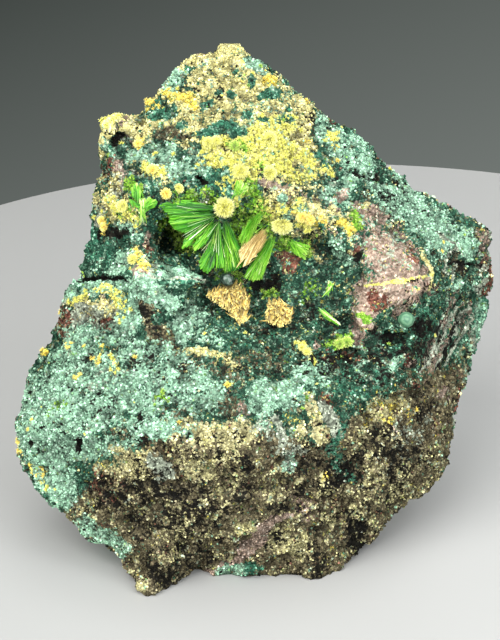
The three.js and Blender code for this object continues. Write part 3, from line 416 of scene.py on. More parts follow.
WARP = 0.8  # how far a patch's edge wanders
WARP_SIZE = 1.9
BACK_WANDER = (1.5, 4)  # how far, and over what length, the edge of the back's patches wanders
ORE_WANDER_SIZE = 3.5
ORE_STRENGTH = 0.95
BACK_NOISE = (0.5, 0.75)  # the middle and the strength of the noise that shapes the back's patches
BACK_PATCH_EDGE = 0.25
BACK_LEVEL_EDGE = 3
BACK_STRENGTH = 0.9
MINT_STONE = 0.3  # the mint crust is this far as solid as the pink stone
SPECKS_ON_STONE = 0.6  # solid stone has this share fewer specks
SPECK_NOISE = 0.8


def mineral_cover(points):
    """How fully each mineral covers each point of the skin, from 0 to 1, by name."""
    across, up, behind = seen_from_eye(points)
    wander = np.stack([noise_at(points, WARP_SIZE, seed, 2) for seed in (31, 41)], axis=1)
    places = np.stack([across, up], axis=1)
    edge_wander = BACK_WANDER[0] * noise_at(points, BACK_WANDER[1], 51)
    on_back = smooth_step(BACK_STARTS, BACK_FULL, behind + edge_wander)
    cover = {}
    for mineral, patches in PATCHES.items():
        cover[mineral] = patch_cover(places, patches, WARP * wander) * (1 - on_back)
    edge = np.interp(across, *zip(*ORE_EDGE)) + ORE_EDGE_WANDER * noise_at(points, ORE_WANDER_SIZE, 61, 2)
    below = 1 - smooth_step(-ORE_EDGE_WIDTH, ORE_EDGE_WIDTH, up - edge)
    cover["ore"] = np.maximum(cover["ore"], ORE_STRENGTH * below * (1 - on_back))
    for index, (mineral, (share, size, low, high)) in enumerate(BACK_COVER.items()):
        broken = BACK_NOISE[0] + BACK_NOISE[1] * noise_at(points, size, 71 + 3 * index, 3)
        above = smooth_step(low - BACK_LEVEL_EDGE, low + BACK_LEVEL_EDGE, points[:, 2])
        level = above * (1 - smooth_step(high - BACK_LEVEL_EDGE, high + BACK_LEVEL_EDGE, points[:, 2]))
        back = smooth_step(1 - share - BACK_PATCH_EDGE, 1 - share + BACK_PATCH_EDGE, broken) * level
        cover[mineral] = np.maximum(cover[mineral], BACK_STRENGTH * back * on_back)
    bare = cover["ore"]
    solid_stone = np.maximum(cover["pink"], cover["mint"] * MINT_STONE)
    for index, (mineral, (on_green, on_ore)) in enumerate(SPECKS.items()):
        share = (on_green + (on_ore - on_green) * bare) * (1 - SPECKS_ON_STONE * solid_stone)
        uneven = 1 + SPECK_NOISE * noise_at(points, SPECK_SIZE, 131 + 3 * index, 2)
        cover[mineral] = np.maximum(cover[mineral], share * uneven)
    return cover


# Mesh helpers

def mesh_points(mesh):
    flat = np.empty(len(mesh.vertices) * 3)
    mesh.vertices.foreach_get("co", flat)
    return flat.reshape(-1, 3) / MM


def set_mesh_points(mesh, points):
    mesh.vertices.foreach_set("co", (points * MM).astype(np.float32).ravel())
    mesh.update()


def mesh_normals(mesh):
    flat = np.empty(len(mesh.vertices) * 3)
    mesh.vertex_normals.foreach_get("vector", flat)
    return flat.reshape(-1, 3)


def mesh_edges(mesh):
    flat = np.empty(len(mesh.edges) * 2, np.int64)
    mesh.edges.foreach_get("vertices", flat)
    return flat.reshape(-1, 2)


def neighbour_mean(values, edges):
    """For each vertex, the mean of what its neighbours hold."""
    count = np.bincount(edges.ravel(), minlength=len(values))
    total = np.empty_like(values)
    for axis in range(values.shape[1]):
        column = values[:, axis]
        total[:, axis] = np.bincount(edges[:, 0], column[edges[:, 1]], len(values))
        total[:, axis] += np.bincount(edges[:, 1], column[edges[:, 0]], len(values))
    return total / np.maximum(count, 1)[:, None]


def smoothed(points, edges, times):
    for _ in range(times):
        points = 0.5 * points + 0.5 * neighbour_mean(points, edges)
    return points


def store(mesh, name, values):
    """Keeps a value or a vector for each vertex under a name."""
    values = np.asarray(values, np.float32)
    kind, field = ("FLOAT", "value") if values.ndim == 1 else ("FLOAT_VECTOR", "vector")
    mesh.attributes.new(name, kind, "POINT").data.foreach_set(field, values.ravel())


def keep_inside(mesh):
    """Nothing sticks out of the box round the solids."""
    low, high = (np.array(corner) / MM for corner in cad_box)
    set_mesh_points(mesh, np.clip(mesh_points(mesh), low, high))


def link(name, mesh):
    piece = bpy.data.objects.new(name, mesh)
    bpy.context.scene.collection.objects.link(piece)
    return piece


def plain_mesh(piece, name):
    """The piece as its modifiers leave it, as a mesh of its own."""
    depsgraph = bpy.context.evaluated_depsgraph_get()
    mesh = bpy.data.meshes.new_from_object(piece.evaluated_get(depsgraph))
    mesh.name = name
    bpy.data.objects.remove(piece)
    return link(name, mesh)


# The skin of the rock

SKIN_MESH = 0.37  # spacing of the skin's points
SKIN_SMOOTHING = 7
SWELLS = (6.5, 0.55)  # how wide and how high
LUMPS = (2.9, 0.42)
CLODS = (1.3, 0.26)
PEBBLES = (0.95, 0.32)
FACETS = (2.6, 0.5)  # the broken faces of the solid stones
PIT_DEPTH = 0.55
ORE_FILLS_PITS = 0.7
BEND = (1.4, 0.5)  # over what length, and how far, the lumps are bent
CREST_SHARPNESS = 0.7
PEBBLE_LEVEL = 0.6  # the mean height of the pebbles, as a share
ROUGHER = {"ore": 0.35, "cream": 0.25, "mint": -0.3}  # how much rougher than the green crust
RAISED = {"lemon": 0.2, "cream": 0.15, "gold": 0.12}  # how far a mineral lies above its ground
BASE_BAND = 0.35  # the underside below this height stays flat


def rock_shape():
    """The rock's solid, remeshed evenly."""
    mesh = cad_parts["rock_matrix"].data.copy()
    loose = bmesh.new()
    loose.from_mesh(mesh)
    bmesh.ops.remove_doubles(loose, verts=loose.verts, dist=1e-6)
    loose.to_mesh(mesh)
    loose.free()
    piece = link("rock_shape", mesh)
    remesh = piece.modifiers.new("remesh", "REMESH")
    remesh.mode = "VOXEL"
    remesh.voxel_size = SKIN_MESH * MM
    return plain_mesh(piece, "rock_skin")


def crests(points, size, seed):
    """Sharp ridges with rounded hollows between them, from -1 to 1."""
    return 1 - 2 * np.abs(noise_at(points, size, seed)) ** CREST_SHARPNESS


def rock_relief(points, cover, smooth_share):
    """How far each point of the skin stands out, by what covers it."""
    earthy = 1 - smooth_share
    rough = 1.0
    for mineral, more in ROUGHER.items():
        rough = rough + more * cover[mineral]
    rough = earthy * rough
    warped = points + BEND[1] * np.stack([noise_at(points, BEND[0], seed) for seed in (7, 8, 9)], axis=1)
    relief = SWELLS[1] * noise_at(warped, SWELLS[0], 2)
    relief += LUMPS[1] * rough * crests(warped, LUMPS[0], 3)
    relief += CLODS[1] * rough * crests(warped, CLODS[0], 5)
    relief += PEBBLES[1] * earthy * (pebbles_at(warped, PEBBLES[0], 11) - PEBBLE_LEVEL)
    relief += FACETS[1] * smooth_share * (pebbles_at(points, FACETS[0], 21) - PEBBLE_LEVEL)
    relief -= PIT_DEPTH * cover["black_and_painted_pit_shade"] ** 2 * (1 - ORE_FILLS_PITS * cover["ore"])
    relief += sum(height * cover[mineral] for mineral, height in RAISED.items())
    return relief


# Where the rock is smooth: solid stone, or a crust without grains.
SMOOTH = [
    (0.8, 1.2, (-14, 5.8), (-12, 5)), (0.9, 0.8, (2.4, 16.9), (3.8, 16.6)),
    (0.9, 0.5, (11.9, 16.4), (11.3, 14.8)), (1, 3.1, (16.4, 9), (18, 5.4), (19.6, 4)),
    (1, 1.6, (14.2, 2), (15, -0.4)), (0.9, 1.3, (-13.4, 7), (-10, 6.4)), (0.8, 1.4, (-9.6, 5), (-7.6, 4)),
    (0.9, 0.9, (-19.1, 22), (-18, 24), (-17.2, 25.4)), (0.8, 1, (26.6, 9.8), (28.2, 9)),
    (1, 1, (4.4, 7.2), (5.1, 6.6)), (0.7, 0.5, (18.2, -4.8), (17.9, -6.2)),
]
# Where fine ridges run over it.
STRIATED = [(0.9, 2.2, (23, -5), (25.4, -1), (27.2, 2.6)), (0.7, 1.2, (22.4, -8.4), (24.8, -9.6))]
STRIATION_LEAN = math.radians(24)
STRIATION_WIDTH = 0.55
STRIATION_LENGTH = 7
STRIATION_HEIGHT = 0.3
STRIATION_SMOOTHNESS = 0.8
STREAK_STRENGTH = 0.75
STREAKS = (("ash", 0.3, 0.7), ("pink", -0.2, 0.2), ("black_and_painted_pit_shade", 0, -0.4))  # from and to what height of a ridge; the black in the grooves is painted shade
# The skin's hollows and crests, found by smoothing, are painted darker and lighter in the rock's colour as
# shade and light.
HOLLOWS = ((12, 0.35), (110, 0.9))  # rounds of smoothing, and how deep it then is in a full hollow
HOLLOW_STRENGTH = 0.6


def striations(across, up):
    """Fine ridges that run up and to the right, from -1 to 1."""
    over = across * math.cos(STRIATION_LEAN) - up * math.sin(STRIATION_LEAN)
    along = across * math.sin(STRIATION_LEAN) + up * math.cos(STRIATION_LEAN)
    places = np.stack([over, along * STRIATION_WIDTH / STRIATION_LENGTH, 0 * over], axis=1)
    return noise_at(places, STRIATION_WIDTH, 151, 2) / 1.5


def make_rock_skin():
    skin = rock_shape()
    mesh = skin.data
    edges = mesh_edges(mesh)
    solid = mesh_points(mesh)
    flat_base = solid[:, 2] < BASE_BAND
    points = smoothed(solid, edges, SKIN_SMOOTHING)
    points = points + smoothed(solid - points, edges, SKIN_SMOOTHING)
    set_mesh_points(mesh, points)
    cover = mineral_cover(points)
    across, up, behind = seen_from_eye(points)
    on_face = behind < BACK_STARTS
    smooth_share = patch_cover(np.stack([across, up], axis=1), SMOOTH) * on_face
    striated = patch_cover(np.stack([across, up], axis=1), STRIATED) * on_face
    ridge = striations(across, up)
    smooth_share = np.maximum(smooth_share, STRIATION_SMOOTHNESS * striated)
    for mineral, low, high in STREAKS:
        streak = STREAK_STRENGTH * striated * smooth_step(low, high, ridge)
        cover[mineral] = np.maximum(cover[mineral], streak)
    relief = rock_relief(points, cover, smooth_share) + STRIATION_HEIGHT * striated * ridge
    points = points + mesh_normals(mesh) * relief[:, None]
    points[flat_base, 2] = 0
    low, high = (np.array(corner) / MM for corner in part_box("rock_matrix"))
    points = np.clip(points, low, high)
    set_mesh_points(mesh, points)
    normals = mesh_normals(mesh)
    # How hollow the skin is at each point, for the painted shade in its hollows and the painted light on its
    # crests.
    hollow_for_painted_shade = 0
    for rounds, depth in HOLLOWS:
        sunk = ((smoothed(points, edges, rounds) - points) * normals).sum(axis=1)
        hollow_for_painted_shade = hollow_for_painted_shade + HOLLOW_STRENGTH * sunk / depth
    rng = np.random.default_rng(SEED)
    for mineral in MINERALS:
        store(mesh, mineral, cover[mineral])
    store(mesh, "hollow_for_painted_shade", np.clip(hollow_for_painted_shade, -1, 1))
    store(mesh, "smoothness", smooth_share)
    store(mesh, "tone", rng.random(len(points)))
    store(mesh, "seat", points * MM)
    return skin, points, normals, cover, smooth_share


# Nodes

def add_node(tree, kind, inputs=None, **settings):
    """A node with its settings and its inputs, each a value or another node's output."""
    made = tree.nodes.new(kind)
    for name, value in settings.items():
        setattr(made, name, value)
    for socket, value in (inputs or {}).items():
        if isinstance(value, bpy.types.NodeSocket):
            tree.links.new(value, made.inputs[socket])
        else:
            made.inputs[socket].default_value = value
    return made


def add_math(tree, operation, *values, clamp=False):
    return add_node(tree, "ShaderNodeMath", dict(enumerate(values)), operation=operation,
                    use_clamp=clamp).outputs[0]


def add_range(tree, value, low, high, to_low=0.0, to_high=1.0, kind="SMOOTHSTEP"):
    return add_node(tree, "ShaderNodeMapRange", {
        "Value": value, "From Min": low, "From Max": high, "To Min": to_low, "To Max": to_high,
    }, interpolation_type=kind).outputs["Result"]


def add_mix(tree, factor, first, second):
    """A mix of two colours. The inputs go by place, because values and colours share their names."""
    mix = add_node(tree, "ShaderNodeMix", {0: factor, 6: first, 7: second}, data_type="RGBA")
    return mix.outputs[2]


def add_attribute(tree, name, output="Fac"):
    return add_node(tree, "ShaderNodeAttribute", attribute_name=name).outputs[output]


def paint(red, green, blue):
    """A colour as the eye sees it, each part from 0 to 255, as the linear colour of a shader."""
    parts = [value / 255 for value in (red, green, blue)]
    return [part / 12.92 if part < 0.04045 else ((part + 0.055) / 1.055) ** 2.4 for part in parts] + [1]


def new_group(name, inputs, outputs):
    """An empty shader node group with its sockets."""
    group = bpy.data.node_groups.new(name, "ShaderNodeTree")
    for in_out, sockets in (("INPUT", inputs), ("OUTPUT", outputs)):
        for socket, kind in sockets.items():
            group.interface.new_socket(socket, in_out=in_out, socket_type="NodeSocket" + kind)
    entry = group.nodes.new("NodeGroupInput").outputs
    leave = group.nodes.new("NodeGroupOutput").inputs
    return group, entry, leave


# Each mineral's dark, middle and light colour.
COLOURS = {
    "druse": ((10, 34, 25), (48, 88, 68), (148, 192, 162)),
    "ore": ((34, 29, 18), (106, 98, 73), (176, 168, 134)),
    "dust": ((132, 126, 84), (206, 200, 146), (246, 242, 200)),
    "pink": ((92, 74, 62), (158, 138, 122), (216, 202, 186)),
    "rust": ((58, 30, 24), (118, 74, 60), (170, 126, 106)),
    "cream": ((156, 148, 86), (224, 217, 148), (253, 249, 204)),
    "gold": ((170, 142, 48), (234, 214, 92), (250, 242, 150)),
    "lemon": ((176, 172, 72), (236, 232, 126), (252, 250, 176)),
    "malachite": ((14, 52, 38), (62, 120, 94), (154, 202, 174)),
    "mint": ((88, 126, 100), (164, 209, 177), (220, 249, 228)),
    "lime": ((44, 92, 16), (120, 172, 52), (198, 224, 112)),
    "ash": ((104, 112, 96), (170, 180, 158), (226, 234, 214)),
    # Black is both dark specks and the painted shade of the pits and holes.
    "black_and_painted_pit_shade": ((8, 8, 6), (26, 25, 18), (62, 58, 46)),
}
FINE_GRIT = 0.36
BROAD_GRIT = 1.3
CURL_SIZE = 0.95  # pale lines that curl through the crust
CURL_WIDTH = 0.06
CURL_TONE = (-0.06, 0.34)  # how they darken and lighten it
PAINTED_GAP_SHADES = ((0.85, 0.16, 0.5), (2.4, 0.1, 0.6))  # painted shade along the gaps between grains: how far apart, how wide as a share of that, how dark
GAP_BENDS = 1.6  # to each gap's distance from the next
GRIT_SPREAD = (0.3, 0.7)  # what of the noise is spread out from 0 to 1
TONE_STEPS = (0.0, 0.55, 1.15)  # the tones of a mineral's dark, middle and light colour
COVER_EDGE = 0.08  # how soft the edge of a mineral is


def make_grit_group():
    """Three fine and three broad noises of the rock, each spread out from 0 to 1, pale curling lines, and
    painted shade along the gaps between grains.
    """
    outputs = {f"{size} {part}": "Float" for size in ("Fine", "Broad") for part in (1, 2, 3)}
    outputs.update({"Painted Gap Shade": "Float", "Curl": "Float"})
    group, entry, leave = new_group("grit", {"Seat": "Vector"}, outputs)
    for size, width in (("Fine", FINE_GRIT), ("Broad", BROAD_GRIT)):
        noise = add_node(group, "ShaderNodeTexNoise", {
            "Vector": entry["Seat"], "Scale": 1 / (width * MM), "Detail": 2.0, "Roughness": 0.6,
        })
        parts = add_node(group, "ShaderNodeSeparateColor", {"Color": noise.outputs["Color"]}).outputs
        for part in (1, 2, 3):
            spread = add_range(group, parts[part - 1], *GRIT_SPREAD, kind="LINEAR")
            group.links.new(spread, leave[f"{size} {part}"])
    noise = add_node(group, "ShaderNodeTexNoise", {
        "Vector": entry["Seat"], "Scale": 1 / (CURL_SIZE * MM), "Detail": 1.0, "Distortion": 0.6,
    })
    off = add_math(group, "ABSOLUTE", add_math(group, "SUBTRACT", noise.outputs["Fac"], 0.5))
    group.links.new(add_range(group, off, 0.0, CURL_WIDTH, 1.0, 0.0), leave["Curl"])
    # Painted shade: the rock darkens along the edges of wandering cells, as shade in the gaps between grains.
    painted_gap_shade = 1.0
    for apart, width, dark in PAINTED_GAP_SHADES:
        wander = add_node(group, "ShaderNodeTexNoise", {
            "Vector": entry["Seat"], "Scale": GAP_BENDS / (apart * MM),
        })
        bend = add_node(group, "ShaderNodeVectorMath", {
            0: wander.outputs["Color"], 1: (apart * MM,) * 3, 2: entry["Seat"],
        }, operation="MULTIPLY_ADD")
        cells = add_node(group, "ShaderNodeTexVoronoi", {
            "Vector": bend.outputs[0], "Scale": 1 / (apart * MM),
        }, feature="DISTANCE_TO_EDGE")
        shade = add_range(group, cells.outputs["Distance"], 0.0, width, dark, 1.0)
        painted_gap_shade = add_math(group, "MULTIPLY", shade, painted_gap_shade)
    group.links.new(painted_gap_shade, leave["Painted Gap Shade"])
    return group


def make_mineral_group():
    """One mineral laid over what is under it, as far as it covers, grain by grain."""
    group, entry, leave = new_group("mineral_layer", {
        "Under": "Color", "Dark": "Color", "Middle": "Color", "Light": "Color",
        "Cover": "Float", "Grit": "Float", "Tone": "Float",
    }, {"Color": "Color"})
    darkest, middling, lightest = TONE_STEPS
    lower = add_mix(group, add_range(group, entry["Tone"], darkest, middling), entry["Dark"], entry["Middle"])
    own = add_mix(group, add_range(group, entry["Tone"], middling, lightest), lower, entry["Light"])
    above = add_math(group, "SUBTRACT", entry["Cover"], entry["Grit"])
    share = add_range(group, above, -COVER_EDGE, COVER_EDGE)
    group.links.new(add_mix(group, share, entry["Under"], own), leave["Color"])
    return group


GRIT = make_grit_group()
MINERAL_LAYER = make_mineral_group()


def new_material(name):
    material = bpy.data.materials.new(name)
    material.use_nodes = True
    tree = material.node_tree
    shader = tree.nodes["Principled BSDF"]
    return material, tree, shader


GROUND_PAINTED_SHADE = 0.55  # the ground between the grains is painted this much darker, as shade between them
GRIT_SHARES = (0.5, 0.5)  # of the fine and of the broad grit, where a mineral's edge is broken up
EDGE_SPREAD = (0.15, 0.85)
TONE_SHARES = (0.45, 0.4)  # of the fine grit, and of each grain's own tone
ALWAYS = 2.0  # a cover that no grit breaks up
HOLLOW_RANGE = (-0.5, 0.9)
HOLLOW_PAINTED_LIGHT_AND_SHADE = (1.5, 0.45)  # painted light on the crests, and painted shade in the hollows
PAINTED_GAP_SHADE_FLOORS = (0.3, 0.6)  # the darkest that the painted shade in the gaps is, in earthy and in smooth rock
ROCK_SPECULAR = 0.12
ROCK_ROUGHNESS = (0.45, 0.85)
ROCK_BUMP = (0.6, 0.15)  # its strength and its height


def make_rock_finish():
    """All the minerals of the rock in layers, on the skin and on the grains that stand on it, with painted
    shade in the hollows, the gaps and the ground between the grains, and painted light on the crests.
    """
    material, tree, shader = new_material("rock_finish")
    seat = add_attribute(tree, "seat", "Vector")
    grit = add_node(tree, "ShaderNodeGroup", node_tree=GRIT)
    tree.links.new(seat, grit.inputs["Seat"])
    grain_tone = add_attribute(tree, "tone")
    hollow_for_painted_shade = add_attribute(tree, "hollow_for_painted_shade")
    curl = add_range(tree, grit.outputs["Curl"], 0.0, 1.0, *CURL_TONE, "LINEAR")
    colour = None
    for index, mineral in enumerate(["druse"] + MINERALS):
        fine = grit.outputs[f"Fine {1 + index % 3}"]
        broad = grit.outputs[f"Broad {1 + (index // 3) % 3}"]
        other = grit.outputs[f"Fine {1 + (index + 1) % 3}"]
        mixed = add_math(tree, "ADD", add_math(tree, "MULTIPLY", fine, GRIT_SHARES[0]),
                         add_math(tree, "MULTIPLY", broad, GRIT_SHARES[1]))
        mixed = add_range(tree, mixed, *EDGE_SPREAD, kind="LINEAR")
        tone = add_math(tree, "ADD", add_math(tree, "MULTIPLY", other, TONE_SHARES[0]),
                        add_math(tree, "MULTIPLY", grain_tone, TONE_SHARES[1]))
        tone = add_math(tree, "ADD", tone, curl)
        layer = add_node(tree, "ShaderNodeGroup", node_tree=MINERAL_LAYER)
        for socket, shade in zip(("Dark", "Middle", "Light"), COLOURS[mineral]):
            layer.inputs[socket].default_value = paint(*shade)
        tree.links.new(tone, layer.inputs["Tone"])
        if colour is None:
            layer.inputs["Cover"].default_value = ALWAYS
        else:
            tree.links.new(colour, layer.inputs["Under"])
            tree.links.new(mixed, layer.inputs["Grit"])
            tree.links.new(add_attribute(tree, mineral), layer.inputs["Cover"])
        colour = layer.outputs["Color"]
    # Painted shade and light: the ground between the grains, the hollows and the gaps darken the colour, and
    # the crests lighten it.
    grain = add_attribute(tree, "grain")
    smoothness = add_attribute(tree, "smoothness")
    ground = add_range(tree, add_math(tree, "MAXIMUM", grain, smoothness),
                       0.0, 1.0, GROUND_PAINTED_SHADE, 1.0, "LINEAR")
    sunk = add_range(tree, hollow_for_painted_shade, *HOLLOW_RANGE, *HOLLOW_PAINTED_LIGHT_AND_SHADE)
    floor = add_range(tree, smoothness, 0.0, 1.0, *PAINTED_GAP_SHADE_FLOORS, "LINEAR")
    painted_gap_shade = add_math(tree, "MAXIMUM", grit.outputs["Painted Gap Shade"], floor)
    shade = add_math(tree, "MULTIPLY", add_math(tree, "MULTIPLY", sunk, ground), painted_gap_shade)
    shaded = add_node(tree, "ShaderNodeVectorMath", {0: colour, 1: shade}, operation="MULTIPLY")
    tree.links.new(shaded.outputs[0], shader.inputs["Base Color"])
    shader.inputs["Specular IOR Level"].default_value = ROCK_SPECULAR
    rough = add_range(tree, grit.outputs["Fine 2"], 0.0, 1.0, *ROCK_ROUGHNESS, "LINEAR")
    tree.links.new(rough, shader.inputs["Roughness"])
    bump = add_node(tree, "ShaderNodeBump", {
        "Strength": ROCK_BUMP[0], "Distance": ROCK_BUMP[1] * MM, "Height": grit.outputs["Fine 1"],
    })
    tree.links.new(bump.outputs["Normal"], shader.inputs["Normal"])
    return material


# Geometry Nodes: grains strewn on a surface, and needles that stand on points

def new_geometry_tree(name, inputs):
    tree = bpy.data.node_groups.new(name, "GeometryNodeTree")
    tree.interface.new_socket("Geometry", in_out="INPUT", socket_type="NodeSocketGeometry")
    for socket, kind in inputs.items():
        tree.interface.new_socket(socket, in_out="INPUT", socket_type="NodeSocket" + kind)
    tree.interface.new_socket("Geometry", in_out="OUTPUT", socket_type="NodeSocketGeometry")
    return tree, tree.nodes.new("NodeGroupInput").outputs, tree.nodes.new("NodeGroupOutput").inputs


def end_tree(tree, instances, finish, leave):
    """The instances as real geometry in their material."""
    real = add_node(tree, "GeometryNodeRealizeInstances", {"Geometry": instances})
    done = add_node(tree, "GeometryNodeSetMaterial", {"Geometry": real.outputs[0], "Material": finish})
    tree.links.new(done.outputs[0], leave["Geometry"])


def run_tree(piece, tree, name, inputs):
    """The piece as the tree makes it, as a plain mesh under a name."""
    modifier = piece.modifiers.new(tree.name, "NODES")
    modifier.node_group = tree
    for item in tree.interface.items_tree:
        if item.in_out == "INPUT" and item.name in inputs:
            modifier[item.identifier] = inputs[item.name]
    return plain_mesh(piece, name)


def make_grain_tree():
    """Grains strewn on a surface, no two middles nearer than the spacing, as many as "Where" says."""
    tree, entry, leave = new_geometry_tree("strewn_grains", {
        "Where": "String", "Spacing": "Float", "Smallest": "Float", "Largest": "Float",
        "Seed": "Int", "Grain": "Object", "Finish": "Material",
    })
    where = add_node(tree, "GeometryNodeInputNamedAttribute", {"Name": entry["Where"]}, data_type="FLOAT")
    density = add_node(tree, "ShaderNodeMath", {0: entry["Spacing"], 1: -2.0}, operation="POWER")
    strewn = add_node(tree, "GeometryNodeDistributePointsOnFaces", {
        "Mesh": entry["Geometry"], "Distance Min": entry["Spacing"], "Density Max": density.outputs[0],
        "Density Factor": where.outputs["Attribute"], "Seed": entry["Seed"],
    }, distribute_method="POISSON")
    seat = add_node(tree, "GeometryNodeInputPosition").outputs[0]
    tone = add_node(tree, "FunctionNodeRandomValue", {"Seed": entry["Seed"]}, data_type="FLOAT").outputs[1]
    points = strewn.outputs["Points"]
    marks = (("seat", seat, "FLOAT_VECTOR"), ("tone", tone, "FLOAT"), ("grain", 1.0, "FLOAT"))
    for name, value, kind in marks:
        points = add_node(tree, "GeometryNodeStoreNamedAttribute", {
            "Geometry": points, "Name": name, "Value": value,
        }, data_type=kind, domain="POINT").outputs["Geometry"]
    turn = add_node(tree, "FunctionNodeRandomValue", {
        0: (0, 0, 0), 1: (math.tau, math.tau, math.tau), "Seed": entry["Seed"],
    }, data_type="FLOAT_VECTOR")
    size = add_node(tree, "FunctionNodeRandomValue", {
        2: entry["Smallest"], 3: entry["Largest"], "Seed": entry["Seed"],
    }, data_type="FLOAT")
    grain = add_node(tree, "GeometryNodeObjectInfo", {"Object": entry["Grain"]})
    placed = add_node(tree, "GeometryNodeInstanceOnPoints", {
        "Points": points, "Instance": grain.outputs["Geometry"],
        "Rotation": turn.outputs[0], "Scale": size.outputs[1],
    })
    end_tree(tree, placed.outputs[0], entry["Finish"], leave)
    return tree


def make_needle_tree():
    """Needles on points that hold their aim, the way their flat side faces, and their three sizes."""
    tree, entry, leave = new_geometry_tree("standing_needles", {"Needle": "Object", "Finish": "Material"})

    def held(name):
        return add_node(tree, "GeometryNodeInputNamedAttribute", {"Name": name},
                        data_type="FLOAT_VECTOR").outputs["Attribute"]

    aimed = add_node(tree, "FunctionNodeAlignRotationToVector", {"Vector": held("aim")}, axis="Z")
    turned = add_node(tree, "FunctionNodeAlignRotationToVector", {
        "Rotation": aimed.outputs[0], "Vector": held("flat"),
    }, axis="Y", pivot_axis="Z")
    needle = add_node(tree, "GeometryNodeObjectInfo", {"Object": entry["Needle"]})
    placed = add_node(tree, "GeometryNodeInstanceOnPoints", {
        "Points": entry["Geometry"], "Instance": needle.outputs["Geometry"],
        "Rotation": turned.outputs[0], "Scale": held("size"),
    })
    end_tree(tree, placed.outputs[0], entry["Finish"], leave)
    return tree


def make_spindle(name, sides, rings):
    """A closed rod of length 1 along +Z, pointed at both ends: each ring is its height and radius."""
    mesh = bpy.data.meshes.new(name)
    verts = [(0, 0, 0)]
    for height, radius in rings:
        for side in range(sides):
            turn = math.tau * side / sides
            verts.append((radius * math.cos(turn), radius * math.sin(turn), height))
    verts.append((0, 0, 1))
    last = len(verts) - 1
    faces = []
    for side in range(sides):
        after = (side + 1) % sides
        faces.append((0, 1 + after, 1 + side))
        for ring in range(len(rings) - 1):
            low, high = 1 + ring * sides, 1 + (ring + 1) * sides
            faces.append((low + side, low + after, high + after, high + side))
        top = 1 + (len(rings) - 1) * sides
        faces.append((top + side, top + after, last))
    mesh.from_pydata(verts, [], faces)
    store(mesh, "along", [vert[2] for vert in verts])
    return bpy.data.objects.new(name, mesh)


GRAIN_REACH = (0.5, 0.42, 0.6)


def make_grain():
    """One grain: eight faces, a little longer one way, about half a unit out from its middle."""
    mesh = bpy.data.meshes.new("grain")
    verts = []
    for axis, reach in enumerate(GRAIN_REACH):
        for sign in (1, -1):
            verts.append(tuple(sign * reach * (axis == other) for other in range(3)))
    faces = []
    for x in (0, 1):
        for y in (2, 3):
            for z in (4, 5):
                face = (x, y, z)
                faces.append(face if (x + y + z) % 2 == 0 else face[::-1])
    mesh.from_pydata(verts, [], faces)
    return bpy.data.objects.new("grain", mesh)


GRAIN_TREE = make_grain_tree()
NEEDLE_TREE = make_needle_tree()
GRAIN = make_grain()
NEEDLE = make_spindle("needle", 3, [(0.15, 0.8), (0.7, 1.0)])
THIN_NEEDLE = make_spindle("thin_needle", 3, [(0.35, 1.0)])
BLADE = make_spindle("blade", 4, [(0.06, 0.35), (0.5, 0.8), (0.85, 1.0), (0.97, 0.7)])


# Camera, floor and light

def make_camera():
    camera = bpy.data.objects.new("camera", bpy.data.cameras.new("camera"))
    camera.data.sensor_width = SENSOR
    camera.data.lens = SENSOR * EYE_DISTANCE / PICTURE_HEIGHT
    camera.data.clip_start = 0.01
    camera.location = Vector(EYE * MM)
    camera.rotation_euler = Vector(AWAY).to_track_quat("-Z", "Y").to_euler()
    bpy.context.scene.collection.objects.link(camera)
    bpy.context.scene.camera = camera


FLOOR_FAR_RADIUS = 90
FLOOR_MIDDLE = (16, 65)
FLOOR_FRONT = -420
FLOOR_STEPS = 96
FLOOR_COLOUR = (172, 173, 171)
FLOOR_ROUGHNESS = 0.6


def make_floor():
    """A pale table with a round far edge."""
    across, back = FLOOR_MIDDLE
    outline = []
    for step in range(FLOOR_STEPS + 1):
        turn = math.pi * step / FLOOR_STEPS
        outline.append((across + FLOOR_FAR_RADIUS * math.cos(turn), back + FLOOR_FAR_RADIUS * math.sin(turn)))
    outline += [(across - FLOOR_FAR_RADIUS, FLOOR_FRONT), (across + FLOOR_FAR_RADIUS, FLOOR_FRONT)]
    mesh = bpy.data.meshes.new("table")
    mesh.from_pydata([(x * MM, y * MM, 0) for x, y in outline], [], [list(range(len(outline)))])
    table = link("table", mesh)
    material, tree, shader = new_material("table_finish")
    shader.inputs["Base Color"].default_value = paint(*FLOOR_COLOUR)
    shader.inputs["Roughness"].default_value = FLOOR_ROUGHNESS
    mesh.materials.append(material)


def make_light(name, place, size, power, colour):
    data = bpy.data.lights.new(name, "AREA")
    data.size = size * MM
    data.energy = power
    data.color = colour
    light = bpy.data.objects.new(name, data)
    light.location = Vector(place) * MM
    aim = Vector((0, 0, FACE_HEIGHT)) - Vector(place)
    light.rotation_euler = aim.to_track_quat("-Z", "Y").to_euler()
    bpy.context.scene.collection.objects.link(light)


BACKDROP = ((24, 32, 28), (126, 132, 128))  # its upper left, and its lower right
BACKDROP_WAY = (0.35, 0.0, -1.0)
BACKDROP_SPAN = (0.1, 0.42)
# Each lamp: its place, how large it is, its power and its colour.
LIGHTS = {
    "key": ((-170, -270, 270), 340, 2.7, (1, 0.99, 0.98)),
    "fill": ((200, -290, 200), 340, 1.75, (0.97, 0.98, 1)),
    "top": ((60, -20, 360), 300, 0.8, (1, 1, 1)),
    "behind": ((170, 330, 220), 300, 0.5, (1, 1, 1)),
}


